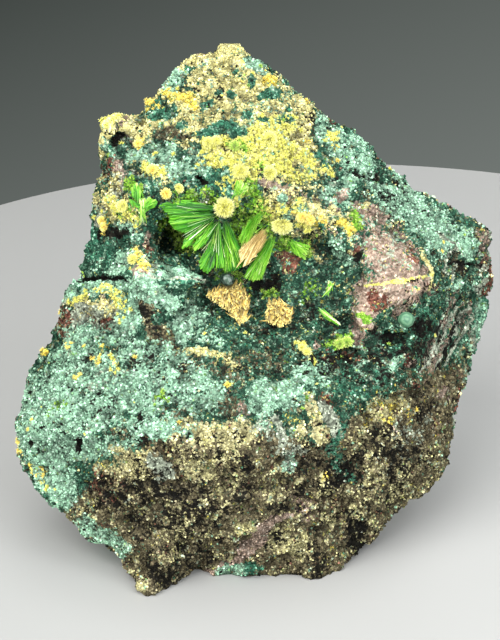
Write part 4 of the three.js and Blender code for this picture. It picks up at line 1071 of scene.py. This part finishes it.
def make_world():
    """A grey backdrop that is darkest at the upper left."""
    world = bpy.data.worlds.new("studio")
    world.use_nodes = True
    tree = world.node_tree
    way = add_node(tree, "ShaderNodeTexCoord").outputs["Generated"]
    along = add_node(tree, "ShaderNodeVectorMath", {0: way, 1: BACKDROP_WAY}, operation="DOT_PRODUCT")
    share = add_range(tree, along.outputs["Value"], *BACKDROP_SPAN, kind="LINEAR")
    colour = add_mix(tree, share, *(paint(*shade) for shade in BACKDROP))
    tree.links.new(colour, tree.nodes["Background"].inputs["Color"])
    bpy.context.scene.world = world


make_camera()
make_floor()
make_world()
for name, lamp in LIGHTS.items():
    make_light(name, *lamp)
bpy.context.scene.view_settings.view_transform = "Standard"


# The pieces

ROCK_FINISH = make_rock_finish()
skin, skin_points, skin_normals, skin_cover, skin_smoothness = make_rock_skin()
skin.data.materials.clear()
skin.data.materials.append(ROCK_FINISH)
skin.data.shade_smooth()


def strew(name, where, spacing, smallest, largest, seed):
    """Grains on the skin, as densely as the values say at each of its points."""
    ground = link(name + "_ground", skin.data.copy())
    store(ground.data, "where", where)
    return run_tree(ground, GRAIN_TREE, name, {
        "Where": "where", "Spacing": spacing * MM, "Smallest": smallest * MM, "Largest": largest * MM,
        "Seed": seed, "Grain": GRAIN, "Finish": ROCK_FINISH,
    })


on_base = skin_points[:, 2] < BASE_BAND
on_back = smooth_step(BACK_STARTS, BACK_FULL, seen_from_eye(skin_points)[2])
BARE_STONE = 1.4  # smooth stone is bare of grains before it is quite smooth
bed = np.where(on_base, 0, 1) * (1 - np.clip(BARE_STONE * skin_smoothness, 0, 1)) * (1 - on_back)
ore_share = np.clip(skin_cover["ore"], 0, 1)
cream_share = np.clip(skin_cover["cream"] + skin_cover["lemon"] + skin_cover["gold"], 0, 1) * (1 - ore_share)
green_share = np.clip(1 - ore_share - cream_share, 0, 1)
left_share = np.where(skin_points[:, 0] < 0, 1, 0)
GRAIN_SPACING = 0.25
GRAIN_SIZE = (0.2, 0.4)
BACK_GRAIN_SPACING = 0.42
BACK_GRAIN_SIZE = (0.3, 0.6)
grain_pieces = [
    strew("green_grains_left", bed * green_share * left_share, GRAIN_SPACING, *GRAIN_SIZE, 11),
    strew("green_grains_right", bed * green_share * (1 - left_share), GRAIN_SPACING, *GRAIN_SIZE, 12),
    strew("ore_grains", bed * ore_share, GRAIN_SPACING, *GRAIN_SIZE, 13),
    strew("cream_grains", bed * cream_share, GRAIN_SPACING, *GRAIN_SIZE, 14),
    strew("back_grains", np.where(on_base, 0, on_back), BACK_GRAIN_SPACING, *BACK_GRAIN_SIZE, 15),
]


# Places on the rock

def mesh_tree(mesh):
    points = [vert.co / MM for vert in mesh.vertices]
    return BVHTree.FromPolygons(points, [tuple(face.vertices) for face in mesh.polygons])


SOLID_TREE = mesh_tree(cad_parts["rock_matrix"].data)
SKIN_TREE = mesh_tree(skin.data)


def seen_on(tree, across, up):
    """Where the eye sees the surface at that place of the face, and the way that the surface faces."""
    way = face_point(across, up) - EYE
    place, normal, _, _ = tree.ray_cast(Vector(EYE), Vector(way).normalized())
    return np.array(place), np.array(normal)


def on_rock(across, up, raised):
    """A place this far before the rock, on both its solid and its skin, and the way the rock faces."""
    solid, normal = seen_on(SOLID_TREE, across, up)
    skin_place, _ = seen_on(SKIN_TREE, across, up)
    nearest = min((solid, skin_place), key=lambda place: (place - EYE) @ AWAY)
    return nearest - raised * AWAY, normal


# Needles

SHEEN = 0.2


def crystal_finish(name, root, body, tip, roughness=0.38, glint=0.35):
    """A silky crystal, from the colour of its root to that of its tip, some lighter and some darker."""
    material, tree, shader = new_material(name)
    along = add_attribute(tree, "along")
    tone = add_attribute(tree, "tone")
    lower = add_mix(tree, add_range(tree, along, 0.0, 0.5), paint(*root), paint(*body))
    whole = add_mix(tree, add_range(tree, along, 0.5, 1.0), lower, paint(*tip))
    light = add_range(tree, tone, 0.0, 1.0, 1 - glint, 1 + glint, "LINEAR")
    shaded = add_node(tree, "ShaderNodeVectorMath", {0: whole, 1: light}, operation="MULTIPLY")
    tree.links.new(shaded.outputs[0], shader.inputs["Base Color"])
    shader.inputs["Roughness"].default_value = roughness
    shader.inputs["Sheen Weight"].default_value = SHEEN
    return material


LEMON_FINISH = crystal_finish("lemon_needle_finish", (184, 192, 52), (230, 228, 104), (247, 246, 176))
GOLD_FINISH = crystal_finish("golden_needle_finish", (240, 208, 84), (250, 228, 104), (255, 247, 165))
LIME_FINISH = crystal_finish("lime_needle_finish", (60, 110, 16), (150, 196, 54), (226, 238, 136))
# The tan needles' dark root colour is painted shade down among the needles.
TAN_FINISH = crystal_finish("tan_needle_finish", (80, 60, 26), (186, 158, 78), (228, 212, 132), glint=0.6)


def stand_needles(name, needle, finish, starts, ends, girth, thick=None, tones=None, tints=None, flat=None):
    """Needles from each start to its end, as one piece."""
    ways = ends - starts
    reach = np.linalg.norm(ways, axis=1)
    count = len(starts)
    rng = np.random.default_rng(count + len(name))
    girth = np.broadcast_to(girth, count)
    thick = girth if thick is None else np.broadcast_to(thick, count)
    if flat is None:
        flat = unit(rng.normal(size=(count, 3)))
    mesh = bpy.data.meshes.new(name)
    mesh.from_pydata((starts * MM).tolist(), [], [])
    store(mesh, "aim", unit(ways))
    store(mesh, "flat", np.broadcast_to(flat, (count, 3)))
    store(mesh, "size", np.stack([girth, thick, reach], axis=1) * (MM / 2, MM / 2, MM))
    store(mesh, "tone", rng.random(count) if tones is None else tones)
    store(mesh, "tint", np.zeros(count) if tints is None else tints)
    return run_tree(link(name, mesh), NEEDLE_TREE, name, {"Needle": needle, "Finish": finish})


def spray_ways(facing, spread, count, rng):
    """Directions up to `spread` away from the way the spray faces, evenly over that cap."""
    height = 1 - rng.random(count) * (1 - math.cos(spread))
    turn = rng.random(count) * math.tau
    side = np.sqrt(1 - height ** 2)
    facing = unit(np.asarray(facing, float))
    other = np.array([0, 0, 1.0]) if abs(facing[2]) < 0.9 else np.array([1.0, 0, 0])
    first = unit(np.cross(facing, other))
    second = np.cross(facing, first)
    return (height[:, None] * facing + (side * np.cos(turn))[:, None] * first
            + (side * np.sin(turn))[:, None] * second)


TUFT_BUNCH = 0.16  # how wide a bunch of needles is, where the whole tuft's radius is 1
TUFT_BUNCH_DEPTH = 0.2
TUFT_HEART = 0.12  # the needles start this far out
TUFT_RAGGED = 0.6  # how much shorter the shortest needle is


def spray(centre, facing, radius, spread, count, rng):
    """Where the needles of one tuft start and end."""
    ways = spray_ways(facing, spread, count, rng)
    bunch = 0.5 + 0.5 * noise_at(ways + centre, TUFT_BUNCH, 91)
    reach = radius * (1 - TUFT_RAGGED * rng.random(count) ** 1.1) * (1 - TUFT_BUNCH_DEPTH * bunch)
    return centre + TUFT_HEART * radius * ways, centre + reach[:, None] * ways


# Each tuft: its node, its kind of needle, their radius, and each place, across and up, with how far
# behind the face it stands where it doesn't lie on the rock. One that sprays to one side has the way
# it faces, across, up and behind, and how wide it spreads.
TUFTS = [
    ("yellow_ball", "lemon", 1.65, [(-3.2, 14.05, -6.9)]),
    ("yellow_tuft_right", "lemon", 1.85, [(4.1, 12.2, -5.9, (-0.1, -1, -0.8), 72)]),
    ("yellow_tuft_upper", "lemon", 1.4, [(-1.2, 18.5)]),
    ("yellow_tuft_middle", "lemon", 1.25, [(2.4, 18.3)]),
    ("yellow_tuft_top_left", "lemon", 1, [(-5.2, 22.1), (-4.2, 22.3)]),
    ("lime_tuft_top", "lime", 1, [(-1.9, 21.7)]),
    ("yellow_tuft_top_right", "lemon", 1.3, [(2.4, 22.6)]),
    ("golden_tufts_right", "golden", 1, [(6.5, 12.8), (7.5, 12.5)]),
    ("golden_ball_left", "golden", 0.95, [(-10.5, 15.8, -6.2)]),
    ("cream_ball_left", "lemon", 0.85, [(-8.9, 16.4)]),
    ("golden_drop_left", "golden", 0.8, [(-18.5, 12.4), (-18.2, 11.6)]),
    ("yellow_tuft_left", "lemon", 0.95, [(-14.6, 7.6)]),
    ("golden_tuft_upper_left", "golden", 0.8, [(-14, 22)]),
    ("golden_tuft_cheek", "golden", 1, [(-12.2, 18.7)]),
    ("yellow_tuft_far_left", "lemon", 1.05, [(-15.9, 14.2)]),
    ("lime_tufts_right", "lime", 1, [(11.2, -3), (12.1, -2.8)]),
    ("yellow_spray_low", "lemon", 0.75, [(6.5, -3.5), (7.1, -4)]),
]
TUFT_RAISED = 0.35
TUFT_SPREAD = math.radians(100)
TUFT_NEEDLES = 640  # for each square millimetre of a tuft's middle section
NEEDLE_GIRTH = 0.08
TUFT_SEED = 200


def make_tuft(name, finish, radius, places, seed):
    rng = np.random.default_rng(seed)
    starts, ends = [], []
    for across, up, *more in places:
        if len(more) > 1:
            centre, spread = face_point(across, up, more[0]), math.radians(more[2])
            facing = unit(face_point(*more[1]) - face_point(0, 0, 0))
        elif more:
            centre, facing, spread = face_point(across, up, more[0]), -AWAY, math.pi
        else:
            centre, facing = on_rock(across, up, TUFT_RAISED * radius)
            spread = TUFT_SPREAD
        count = int(TUFT_NEEDLES * radius ** 2)
        start, end = spray(centre, facing, radius, spread, count, rng)
        starts.append(start)
        ends.append(end)
    return stand_needles(name, NEEDLE, finish, np.concatenate(starts), np.concatenate(ends), NEEDLE_GIRTH)


CRYSTALS = {
    "lemon": (LEMON_FINISH, "lemon_needles"),
    "golden": (GOLD_FINISH, "golden_needles"),
    "lime": (LIME_FINISH, "lime_crystal"),
}
for index, (node, kind, radius, places) in enumerate(TUFTS):
    finish, slot = CRYSTALS[kind]
    tuft = make_tuft(node + "_needles", finish, radius, places, TUFT_SEED + index)
    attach(tuft, "root")
    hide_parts(node)


# The fans: lobes of narrow blades between a root and an outer edge, all across, up and behind the face.
# Each lobe: how many blades, how wide, their tint from dark green at 0 to white at 1, its root, and the
# line that its tips end on.
LEFT_FAN = [
    (60, 0.34, 0.34, (-4.4, 13.9, -5.2),
     [(-9, 15.2, -4.6), (-11.5, 14.4, -4.9), (-10.6, 13.4, -4.6), (-9.9, 12.8, -4.4)]),
    (24, 0.3, 0.2, (-4.5, 13.2, -5.0), [(-10.2, 13.1, -4.3), (-10.2, 12.3, -4.3)]),
    (50, 0.34, 0.32, (-4.6, 12.8, -5.1), [(-10.3, 12.3, -4.6), (-9.5, 11.3, -4.4), (-8.0, 10.7, -4.3)]),
    (24, 0.34, 0.4, (-6.6, 11.1, -4.8), [(-8.3, 9.9, -4.4), (-8.6, 8.8, -4.3), (-7.4, 9.3, -4.3)]),
    (16, 0.2, 0.3, (-4.6, 12.3, -4.8), [(-7.4, 10.6, -4.6), (-6.8, 10, -4.6)]),
    (34, 0.34, 0.44, (-4.4, 12.1, -5.0), [(-7.2, 9.4, -4.6), (-7, 8.5, -4.5), (-5.6, 9.4, -4.5)]),
    (8, 0.12, 0.66, (-4.1, 12.0, -5.1), [(-5.3, 8.0, -4.5), (-4.2, 8.4, -4.5)]),
    (30, 0.3, 0.22, (-4.1, 12.0, -4.8), [(-5.6, 8.0, -4.3), (-4.0, 7.4, -4.3)]),
    (44, 0.36, 0.34, (-4.6, 9.4, -4.8),
     [(-6.5, 7.4, -4.5), (-6.2, 6.2, -4.5), (-5.4, 5.7, -4.5), (-4.5, 6.6, -4.5), (-4.5, 7.8, -4.5)]),
    (34, 0.26, 0.36, (-3.9, 12.3, -5.2), [(-4.3, 6.4, -4.7), (-3.2, 6.4, -4.7)]),
    (70, 0.3, 0.22, (-3.2, 12.4, -5.0),
     [(-3.3, 6.0, -4.5), (-2.2, 5.9, -4.6), (-0.9, 6.6, -4.6), (-0.5, 7.6, -4.6)]),
    (16, 0.16, 0.55, (-3.1, 12.0, -5.3), [(-3.0, 6.0, -4.9), (-1.0, 6.9, -4.9)]),
    (3, 0.1, 0.84, (-4.2, 13.0, -5.5), [(-9.8, 14.6, -5.2), (-9.4, 12.6, -5.0), (-8.2, 9.4, -4.8)]),
    (4, 0.1, 0.84, (-4.0, 12.6, -5.5),
     [(-8.0, 10.2, -4.9), (-6.0, 7.4, -4.8), (-4.0, 6.6, -5.0), (-1.6, 6.8, -5.0)]),
]
RIGHT_FAN = [
    (50, 0.2, 0.52, (2.9, 10.4, -4.7), [(-0.9, 5.2, -4.0), (0.2, 4.7, -4.0), (1.5, 5.0, -4.2)]),
    (16, 0.16, 0.66, (3.2, 10.2, -4.9), [(-0.2, 4.9, -4.2), (1.5, 5.1, -4.4)]),
    (16, 0.26, 0.34, (2.6, 10.4, -4.4), [(-0.6, 6.0, -3.8), (0.8, 5.6, -3.8)]),
    (30, 0.16, 0.6, (0.6, 13.0, -4.4), [(-1.6, 10.2, -3.8), (-1, 8.8, -3.8), (-0.2, 8.4, -3.8)]),
    (20, 0.14, 0.7, (1.4, 13.4, -4.4), [(-0.2, 12, -3.8), (0.6, 10.8, -3.8)]),
    (34, 0.2, 0.58, (5.0, 9.9, -4.8), [(5.6, 8.2, -4.6), (7.0, 7.4, -4.6), (7.6, 9.2, -4.7)]),
    (4, 0.1, 0.84, (3.0, 10.3, -5.1), [(-0.8, 5.2, -4.4), (1.4, 5.2, -4.6)]),
]
TAN_FAN = [
    (44, 0.17, 0.06, (1.9, 11.4, -5.5), [(-1.8, 6.4, -5.2), (-1.3, 7.0, -5.2)]),
    (44, 0.17, 0.12, (1.5, 10.8, -5.6), [(-0.9, 6.6, -5.3), (-0.2, 6.9, -5.3)]),
    (40, 0.17, 0.04, (2.0, 10.8, -5.6), [(-0.2, 7.2, -5.3), (0.9, 8.4, -5.3)]),
    (44, 0.17, 0.1, (0.9, 10.6, -5.5), [(-1.5, 8.6, -5.3), (-1.2, 7.2, -5.3)]),
    (40, 0.17, 0.14, (1.6, 10, -5.5), [(-0.6, 7.2, -5.3), (0.7, 7.9, -5.3)]),
]
SPRIG = [
    (14, 0.5, 0.42, (-13.9, 14.9, -4.7), [(-15.0, 16.6, -4.8), (-14.2, 17.2, -4.9), (-13.7, 16.2, -4.8)]),
    (9, 0.4, 0.35, (-13.4, 13.9, -4.7), [(-15.2, 15.2, -4.6), (-14.4, 14.4, -4.6)]),
    (14, 0.4, 0.5, (-13.5, 13.6, -4.8), [(-12.6, 15.4, -5.0), (-11.6, 15.0, -5.0), (-11.8, 14.2, -4.9)]),
    (10, 0.26, 0.8, (-13.3, 12.0, -4.5), [(-13.9, 15.2, -4.9), (-13.1, 15.4, -4.9)]),
]
LIME_STEM = [
    (12, 0.2, 0.72, (-2.0, 15.2, -6.2), [(-1.6, 17.5, -6.3), (-1.0, 17.5, -6.4), (-0.7, 17.1, -6.4)]),
    (8, 0.18, 0.8, (-1.8, 15.3, -6.3), [(-0.5, 17.0, -6.5), (0.0, 16.5, -6.5)]),
]
SPLINTER = [
    (8, 0.3, 0.82, (8.5, 1.4, -4.7), [(11.2, -0.4, -5.7), (11.4, -0.7, -5.9)]),
    (5, 0.24, 0.5, (8.6, 1.2, -4.6), [(11.0, -0.7, -5.6), (11.2, -0.8, -5.7)]),
]
LEAF = [(8, 0.34, 0.6, (9.5, 3.0, -3.7), [(9.8, 5.0, -3.7), (10.6, 4.5, -3.9)])]


def along_line(line, share):
    """Points that share of the way along a line of three-part points."""
    line = np.array(line, float)
    lengths = np.linalg.norm(np.diff(line, axis=0), axis=1)
    reached = np.concatenate([[0], np.cumsum(lengths)]) / lengths.sum()
    return np.stack([np.interp(share, reached, line[:, axis]) for axis in range(3)], axis=1)


ROOT_SHADE_AND_TIP_TINT = (-0.14, 0.1)  # what is added to a blade's tint at its root, darker as painted shade where the blades crowd, and at its tip, paler in its own colour
TINT_APART = (-0.16, 0.1)  # and from its darkest blade to its palest


def fan_finish(name, shades, roughness=0.5):
    """Blades whose tint runs through the shades, darker at the root as painted shade, and paler at the tip.
    """
    material, tree, shader = new_material(name)
    along = add_attribute(tree, "along")
    tone = add_attribute(tree, "tone")
    tint = add_attribute(tree, "tint")
    shifted = add_math(tree, "ADD", tint, add_range(tree, along, 0.0, 1.0, *ROOT_SHADE_AND_TIP_TINT, "LINEAR"))
    shifted = add_math(tree, "ADD", shifted, add_range(tree, tone, 0.0, 1.0, *TINT_APART, "LINEAR"))
    ramp = add_node(tree, "ShaderNodeValToRGB", {"Fac": shifted})
    stops = ramp.color_ramp.elements
    while len(stops) < len(shades):
        stops.new(0.5)
    for stop, (place, shade) in zip(stops, shades):
        stop.position = place
        stop.color = paint(*shade)
    tree.links.new(ramp.outputs["Color"], shader.inputs["Base Color"])
    shader.inputs["Roughness"].default_value = roughness
    return material


GREEN_FINISH = fan_finish("green_blade_finish", [
    (0.0, (14, 54, 6)), (0.25, (44, 124, 12)), (0.5, (100, 176, 30)), (0.72, (158, 208, 76)),
    (0.88, (204, 226, 150)), (1.0, (240, 246, 220)),
])
TAN_FAN_FINISH = fan_finish("tan_blade_finish", [
    (0.0, (172, 146, 84)), (0.12, (212, 188, 122)), (0.3, (244, 230, 174)),
], 0.4)
BLADE_THICK = 0.12
BLADE_DEPTH_SPREAD = 0.4
FAN_FULLNESS = 2.6  # how many times as many blades as the lobes say
FAN_FINENESS = 0.58  # and how much narrower
FAN_STRAY = 0.5
FAN_FOOT = (0.2, 0.2, 0.1)  # how widely the blades' feet lie round the root
FAN_SHORTEST = 0.45  # this share of its length is gone from the shortest blade
FAN_LATEST = 0.6  # and some start this far along
FAN_CLUMP = 14  # blades in a bunch of one tint
FAN_CLUMP_TINT = 0.14
FAN_TINT_SPREAD = 0.07
BLADE_WIDTHS = (0.6, 0.6)  # the narrowest, and what is added for the widest
BLADE_TURN = 0.35
FAN_SEED = 301


def fan_blades(lobes, seed):
    """Where the blades of all the lobes start and end, how wide each is, and its tint."""
    rng = np.random.default_rng(seed)
    starts, ends, widths, tints = [], [], [], []
    for count, width, tint, root, edge in lobes:
        count = int(FAN_FULLNESS * count)
        width = FAN_FINENESS * width
        tips = along_line(edge, np.clip((np.arange(count) + rng.random(count)) / count, 0, 1))
        foot = np.array(root) + rng.normal(size=(count, 3)) * FAN_FOOT
        reach = 1 - FAN_SHORTEST * rng.random((count, 1)) ** 2.2
        begin = FAN_LATEST * rng.random((count, 1)) ** 1.5
        depth = BLADE_DEPTH_SPREAD * (rng.random(count) - 0.5)
        start = foot + begin * (tips - foot) + FAN_STRAY * begin * rng.normal(size=(count, 3)) * (1, 1, 0)
        end = foot + reach * (tips - foot)
        start[:, 2] += depth
        end[:, 2] += depth
        starts += [face_point(*place) for place in start]
        ends += [face_point(*place) for place in end]
        widths.append(width * (BLADE_WIDTHS[0] + BLADE_WIDTHS[1] * rng.random(count)))
        clump = noise_at(np.stack([np.linspace(0, count, count)] * 3, axis=1), FAN_CLUMP, seed)
        tints.append(tint + FAN_TINT_SPREAD * rng.normal(size=count) - FAN_CLUMP_TINT * clump)
    return np.array(starts), np.array(ends), np.concatenate(widths), np.clip(np.concatenate(tints), 0, 1)


def make_fan(node, lobes, finish, slot, seed):
    starts, ends, widths, tints = fan_blades(lobes, seed)
    rng = np.random.default_rng(seed + 1)
    facing = unit(-AWAY + BLADE_TURN * rng.normal(size=(len(starts), 3)))
    fan = stand_needles(node + "_blades", BLADE, finish, starts, ends, widths, BLADE_THICK,
                        tints=tints, flat=facing)
    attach(fan, "root")
    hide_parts(node)


FANS = {
    "green_fan_left": (LEFT_FAN, GREEN_FINISH, "leaf_green_crystal"),
    "green_fan_right": (RIGHT_FAN, GREEN_FINISH, "lime_crystal"),
    "tan_fan": (TAN_FAN, TAN_FAN_FINISH, "tan_crystal"),
    "green_sprig": (SPRIG, GREEN_FINISH, "leaf_green_crystal"),
    "lime_stem": (LIME_STEM, GREEN_FINISH, "lime_crystal"),
    "green_splinter": (SPLINTER, GREEN_FINISH, "lime_crystal"),
    "green_leaf": (LEAF, GREEN_FINISH, "lime_crystal"),
}
for index, (node, fan) in enumerate(FANS.items()):
    make_fan(node, *fan, FAN_SEED + 2 * index)


# The tan brushes: short thick needles whose ends fill an outline, across, up and behind.
LEFT_BRUSH = [(-5.7, 3.1, -5.2), (-3.9, 3.6, -5.2), (-1.5, 4.4, -4.6), (-0.7, 3.6, -4.8), (-0.1, 2.1, -5.8),
              (-0.4, -0.1, -6.9), (-1.2, -0.8, -7.2), (-1.9, 0, -7.0), (-2.9, 1.1, -6.6), (-4.8, 2.2, -5.7)]
LEFT_BRUSH_ROOT = (-1.6, 4.6, -2.2)
RIGHT_BRUSH = [(1.8, 0.8, -5.7), (2.3, 2.2, -5.0), (3.5, 2.4, -5.0), (4.7, 2.1, -5.3), (5.3, 1, -5.8),
               (5.1, -0.3, -6.3), (4.1, -1, -6.7), (2.8, -0.8, -6.6), (1.9, -0.1, -6.1)]
RIGHT_BRUSH_ROOT = (3.6, 2.2, -3.0)
BRUSH_STRAY = 0.22  # how far a needle's tip stands before or behind the others
BRUSH_TURN = 0.33
BRUSH_REACH = (0.9, 0.7)  # the shortest needle, and what is added for the longest
BRUSH_GIRTH = (0.15, 0.06)
CORNER_BLUR = 0.3


def inside_outline(places, outline):
    """Which places, across and up, lie inside the closed outline."""
    inside = np.zeros(len(places), bool)
    for (x0, y0, _), (x1, y1, _) in zip(outline, outline[1:] + outline[:1]):
        crosses = (y0 > places[:, 1]) != (y1 > places[:, 1])
        at = x0 + (places[:, 1] - y0) * (x1 - x0) / (y1 - y0 + 1e-12)
        inside ^= crosses & (places[:, 0] < at)
    return inside


def make_brush(node, outline, root, count, seed):
    rng = np.random.default_rng(seed)
    corners = np.array(outline)
    low, high = corners[:, :2].min(0), corners[:, :2].max(0)
    places = low + (high - low) * rng.random((count * 4, 2))
    places = places[inside_outline(places, outline)][:count]
    distance = np.linalg.norm(places[:, None] - corners[None, :, :2], axis=2)
    weight = 1 / (distance + CORNER_BLUR) ** 2
    behind = (weight * corners[:, 2]).sum(1) / weight.sum(1) + BRUSH_STRAY * rng.normal(size=len(places))
    tips = np.array([face_point(*place, depth) for place, depth in zip(places, behind)])
    ways = unit(unit(tips - face_point(*root)) + BRUSH_TURN * rng.normal(size=tips.shape))
    reach = BRUSH_REACH[0] + BRUSH_REACH[1] * rng.random(len(tips))
    starts = tips - reach[:, None] * ways
    girth = BRUSH_GIRTH[0] + BRUSH_GIRTH[1] * rng.random(len(tips))
    brush = stand_needles(node + "_needles", STUB, TAN_FINISH, starts, tips, girth)
    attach(brush, "root")
    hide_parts(node)


STUB = make_spindle("stub", 4, [(0.1, 0.8), (0.85, 1.0)])
make_brush("tan_brush_left", LEFT_BRUSH, LEFT_BRUSH_ROOT, 760, 321)
make_brush("tan_brush_right", RIGHT_BRUSH, RIGHT_BRUSH_ROOT, 430, 322)


# The two beads

BEAD_RADIUS = 0.98
BEAD_GRAIN = 0.4  # how fine the rings' wandering is
RING_EDGES = (0.1, 0.4)


def bead_finish(name, shades, ring_width, roughness):
    """A bead with rings round its middle."""
    material, tree, shader = new_material(name)
    seat = add_attribute(tree, "seat", "Vector")
    distance = add_node(tree, "ShaderNodeVectorMath", {0: seat}, operation="LENGTH").outputs["Value"]
    grain = add_node(tree, "ShaderNodeTexNoise", {"Vector": seat, "Scale": 1 / (BEAD_GRAIN * MM)})
    place = add_math(tree, "ADD", add_math(tree, "DIVIDE", distance, ring_width * MM), grain.outputs["Fac"])
    ring = add_range(tree, add_math(tree, "PINGPONG", place, 0.5), *RING_EDGES)
    colour = add_mix(tree, ring, *(paint(*shade) for shade in shades))
    tree.links.new(colour, shader.inputs["Base Color"])
    shader.inputs["Roughness"].default_value = roughness
    return material


def make_bead(name, node, finish, bumps, seed):
    low, high = (np.array(corner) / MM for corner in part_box(node))
    centre = (low + high) / 2
    mesh = bpy.data.meshes.new(name)
    ball = bmesh.new()
    bmesh.ops.create_icosphere(ball, subdivisions=5, radius=1)
    ball.to_mesh(mesh)
    ball.free()
    ways = mesh_points(mesh) * MM
    points = centre + BEAD_RADIUS * ways * (1 + bumps * noise_at(ways * 10, 9, seed, 2))[:, None]
    pole = centre - BEAD_RADIUS * AWAY
    set_mesh_points(mesh, points)
    store(mesh, "seat", (points - pole) * MM)
    mesh.materials.append(finish)
    mesh.shade_smooth()
    bead = link(name, mesh)
    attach(bead, "root")
    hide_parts(node)


DARK_BEAD_FINISH = bead_finish("dark_bead_finish", ((22, 34, 28), (78, 98, 84)), 2.2, 0.1)
PALE_BEAD_FINISH = bead_finish("pale_bead_finish", ((76, 120, 92), (104, 148, 114)), 0.6, 0.4)
make_bead("dark_bead", "dark_ball", DARK_BEAD_FINISH, 0.12, 331)
make_bead("pale_bead", "malachite_ball", PALE_BEAD_FINISH, 0.08, 332)


# A mat of small tufts over the yellow minerals
MAT_STEP = 0.7
MAT_RADIUS = (0.3, 0.7)
MAT_NEEDLES = 46
MAT_GIRTH = 0.07
MAT_SPREAD = math.radians(75)
MAT_TURN = 0.3
# Each mat: its mineral, how densely it stands where the mineral covers fully, and its kind of needle.
MATS = (("lemon", 0.5, "lemon"), ("gold", 0.2, "golden"), ("lime", 0.3, "lime"))


def scattered(weight, step, seed):
    """Skin points with a chance by their weight, no two nearer than the step."""
    rng = np.random.default_rng(seed)
    order = rng.permutation(np.flatnonzero(rng.random(len(weight)) < weight))
    taken = {}
    chosen = []
    for index in order:
        cell = tuple(np.floor(skin_points[index] / step).astype(int))
        if cell not in taken:
            taken[cell] = index
            chosen.append(index)
    return np.array(chosen)


def make_mat(name, weight, finish, slot, seed):
    rng = np.random.default_rng(seed)
    starts, ends = [], []
    for index in scattered(weight, MAT_STEP, seed):
        radius = rng.uniform(*MAT_RADIUS)
        facing = skin_normals[index] + MAT_TURN * rng.normal(size=3)
        start, end = spray(skin_points[index], facing, radius, MAT_SPREAD, MAT_NEEDLES, rng)
        starts.append(start)
        ends.append(end)
    mat = stand_needles(name, THIN_NEEDLE, finish, np.concatenate(starts), np.concatenate(ends),
                        MAT_GIRTH)
    keep_inside(mat.data)
    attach(mat, "root")


rough_share = 1 - np.clip(skin_smoothness, 0, 1)
for index, (mineral, density, kind) in enumerate(MATS):
    make_mat(kind + "_mat", density * skin_cover[mineral] ** 2 * rough_share, *CRYSTALS[kind], 341 + index)

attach(skin, "root")
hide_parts("rock_matrix")
for piece in grain_pieces:
    keep_inside(piece.data)
    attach(piece, "root")
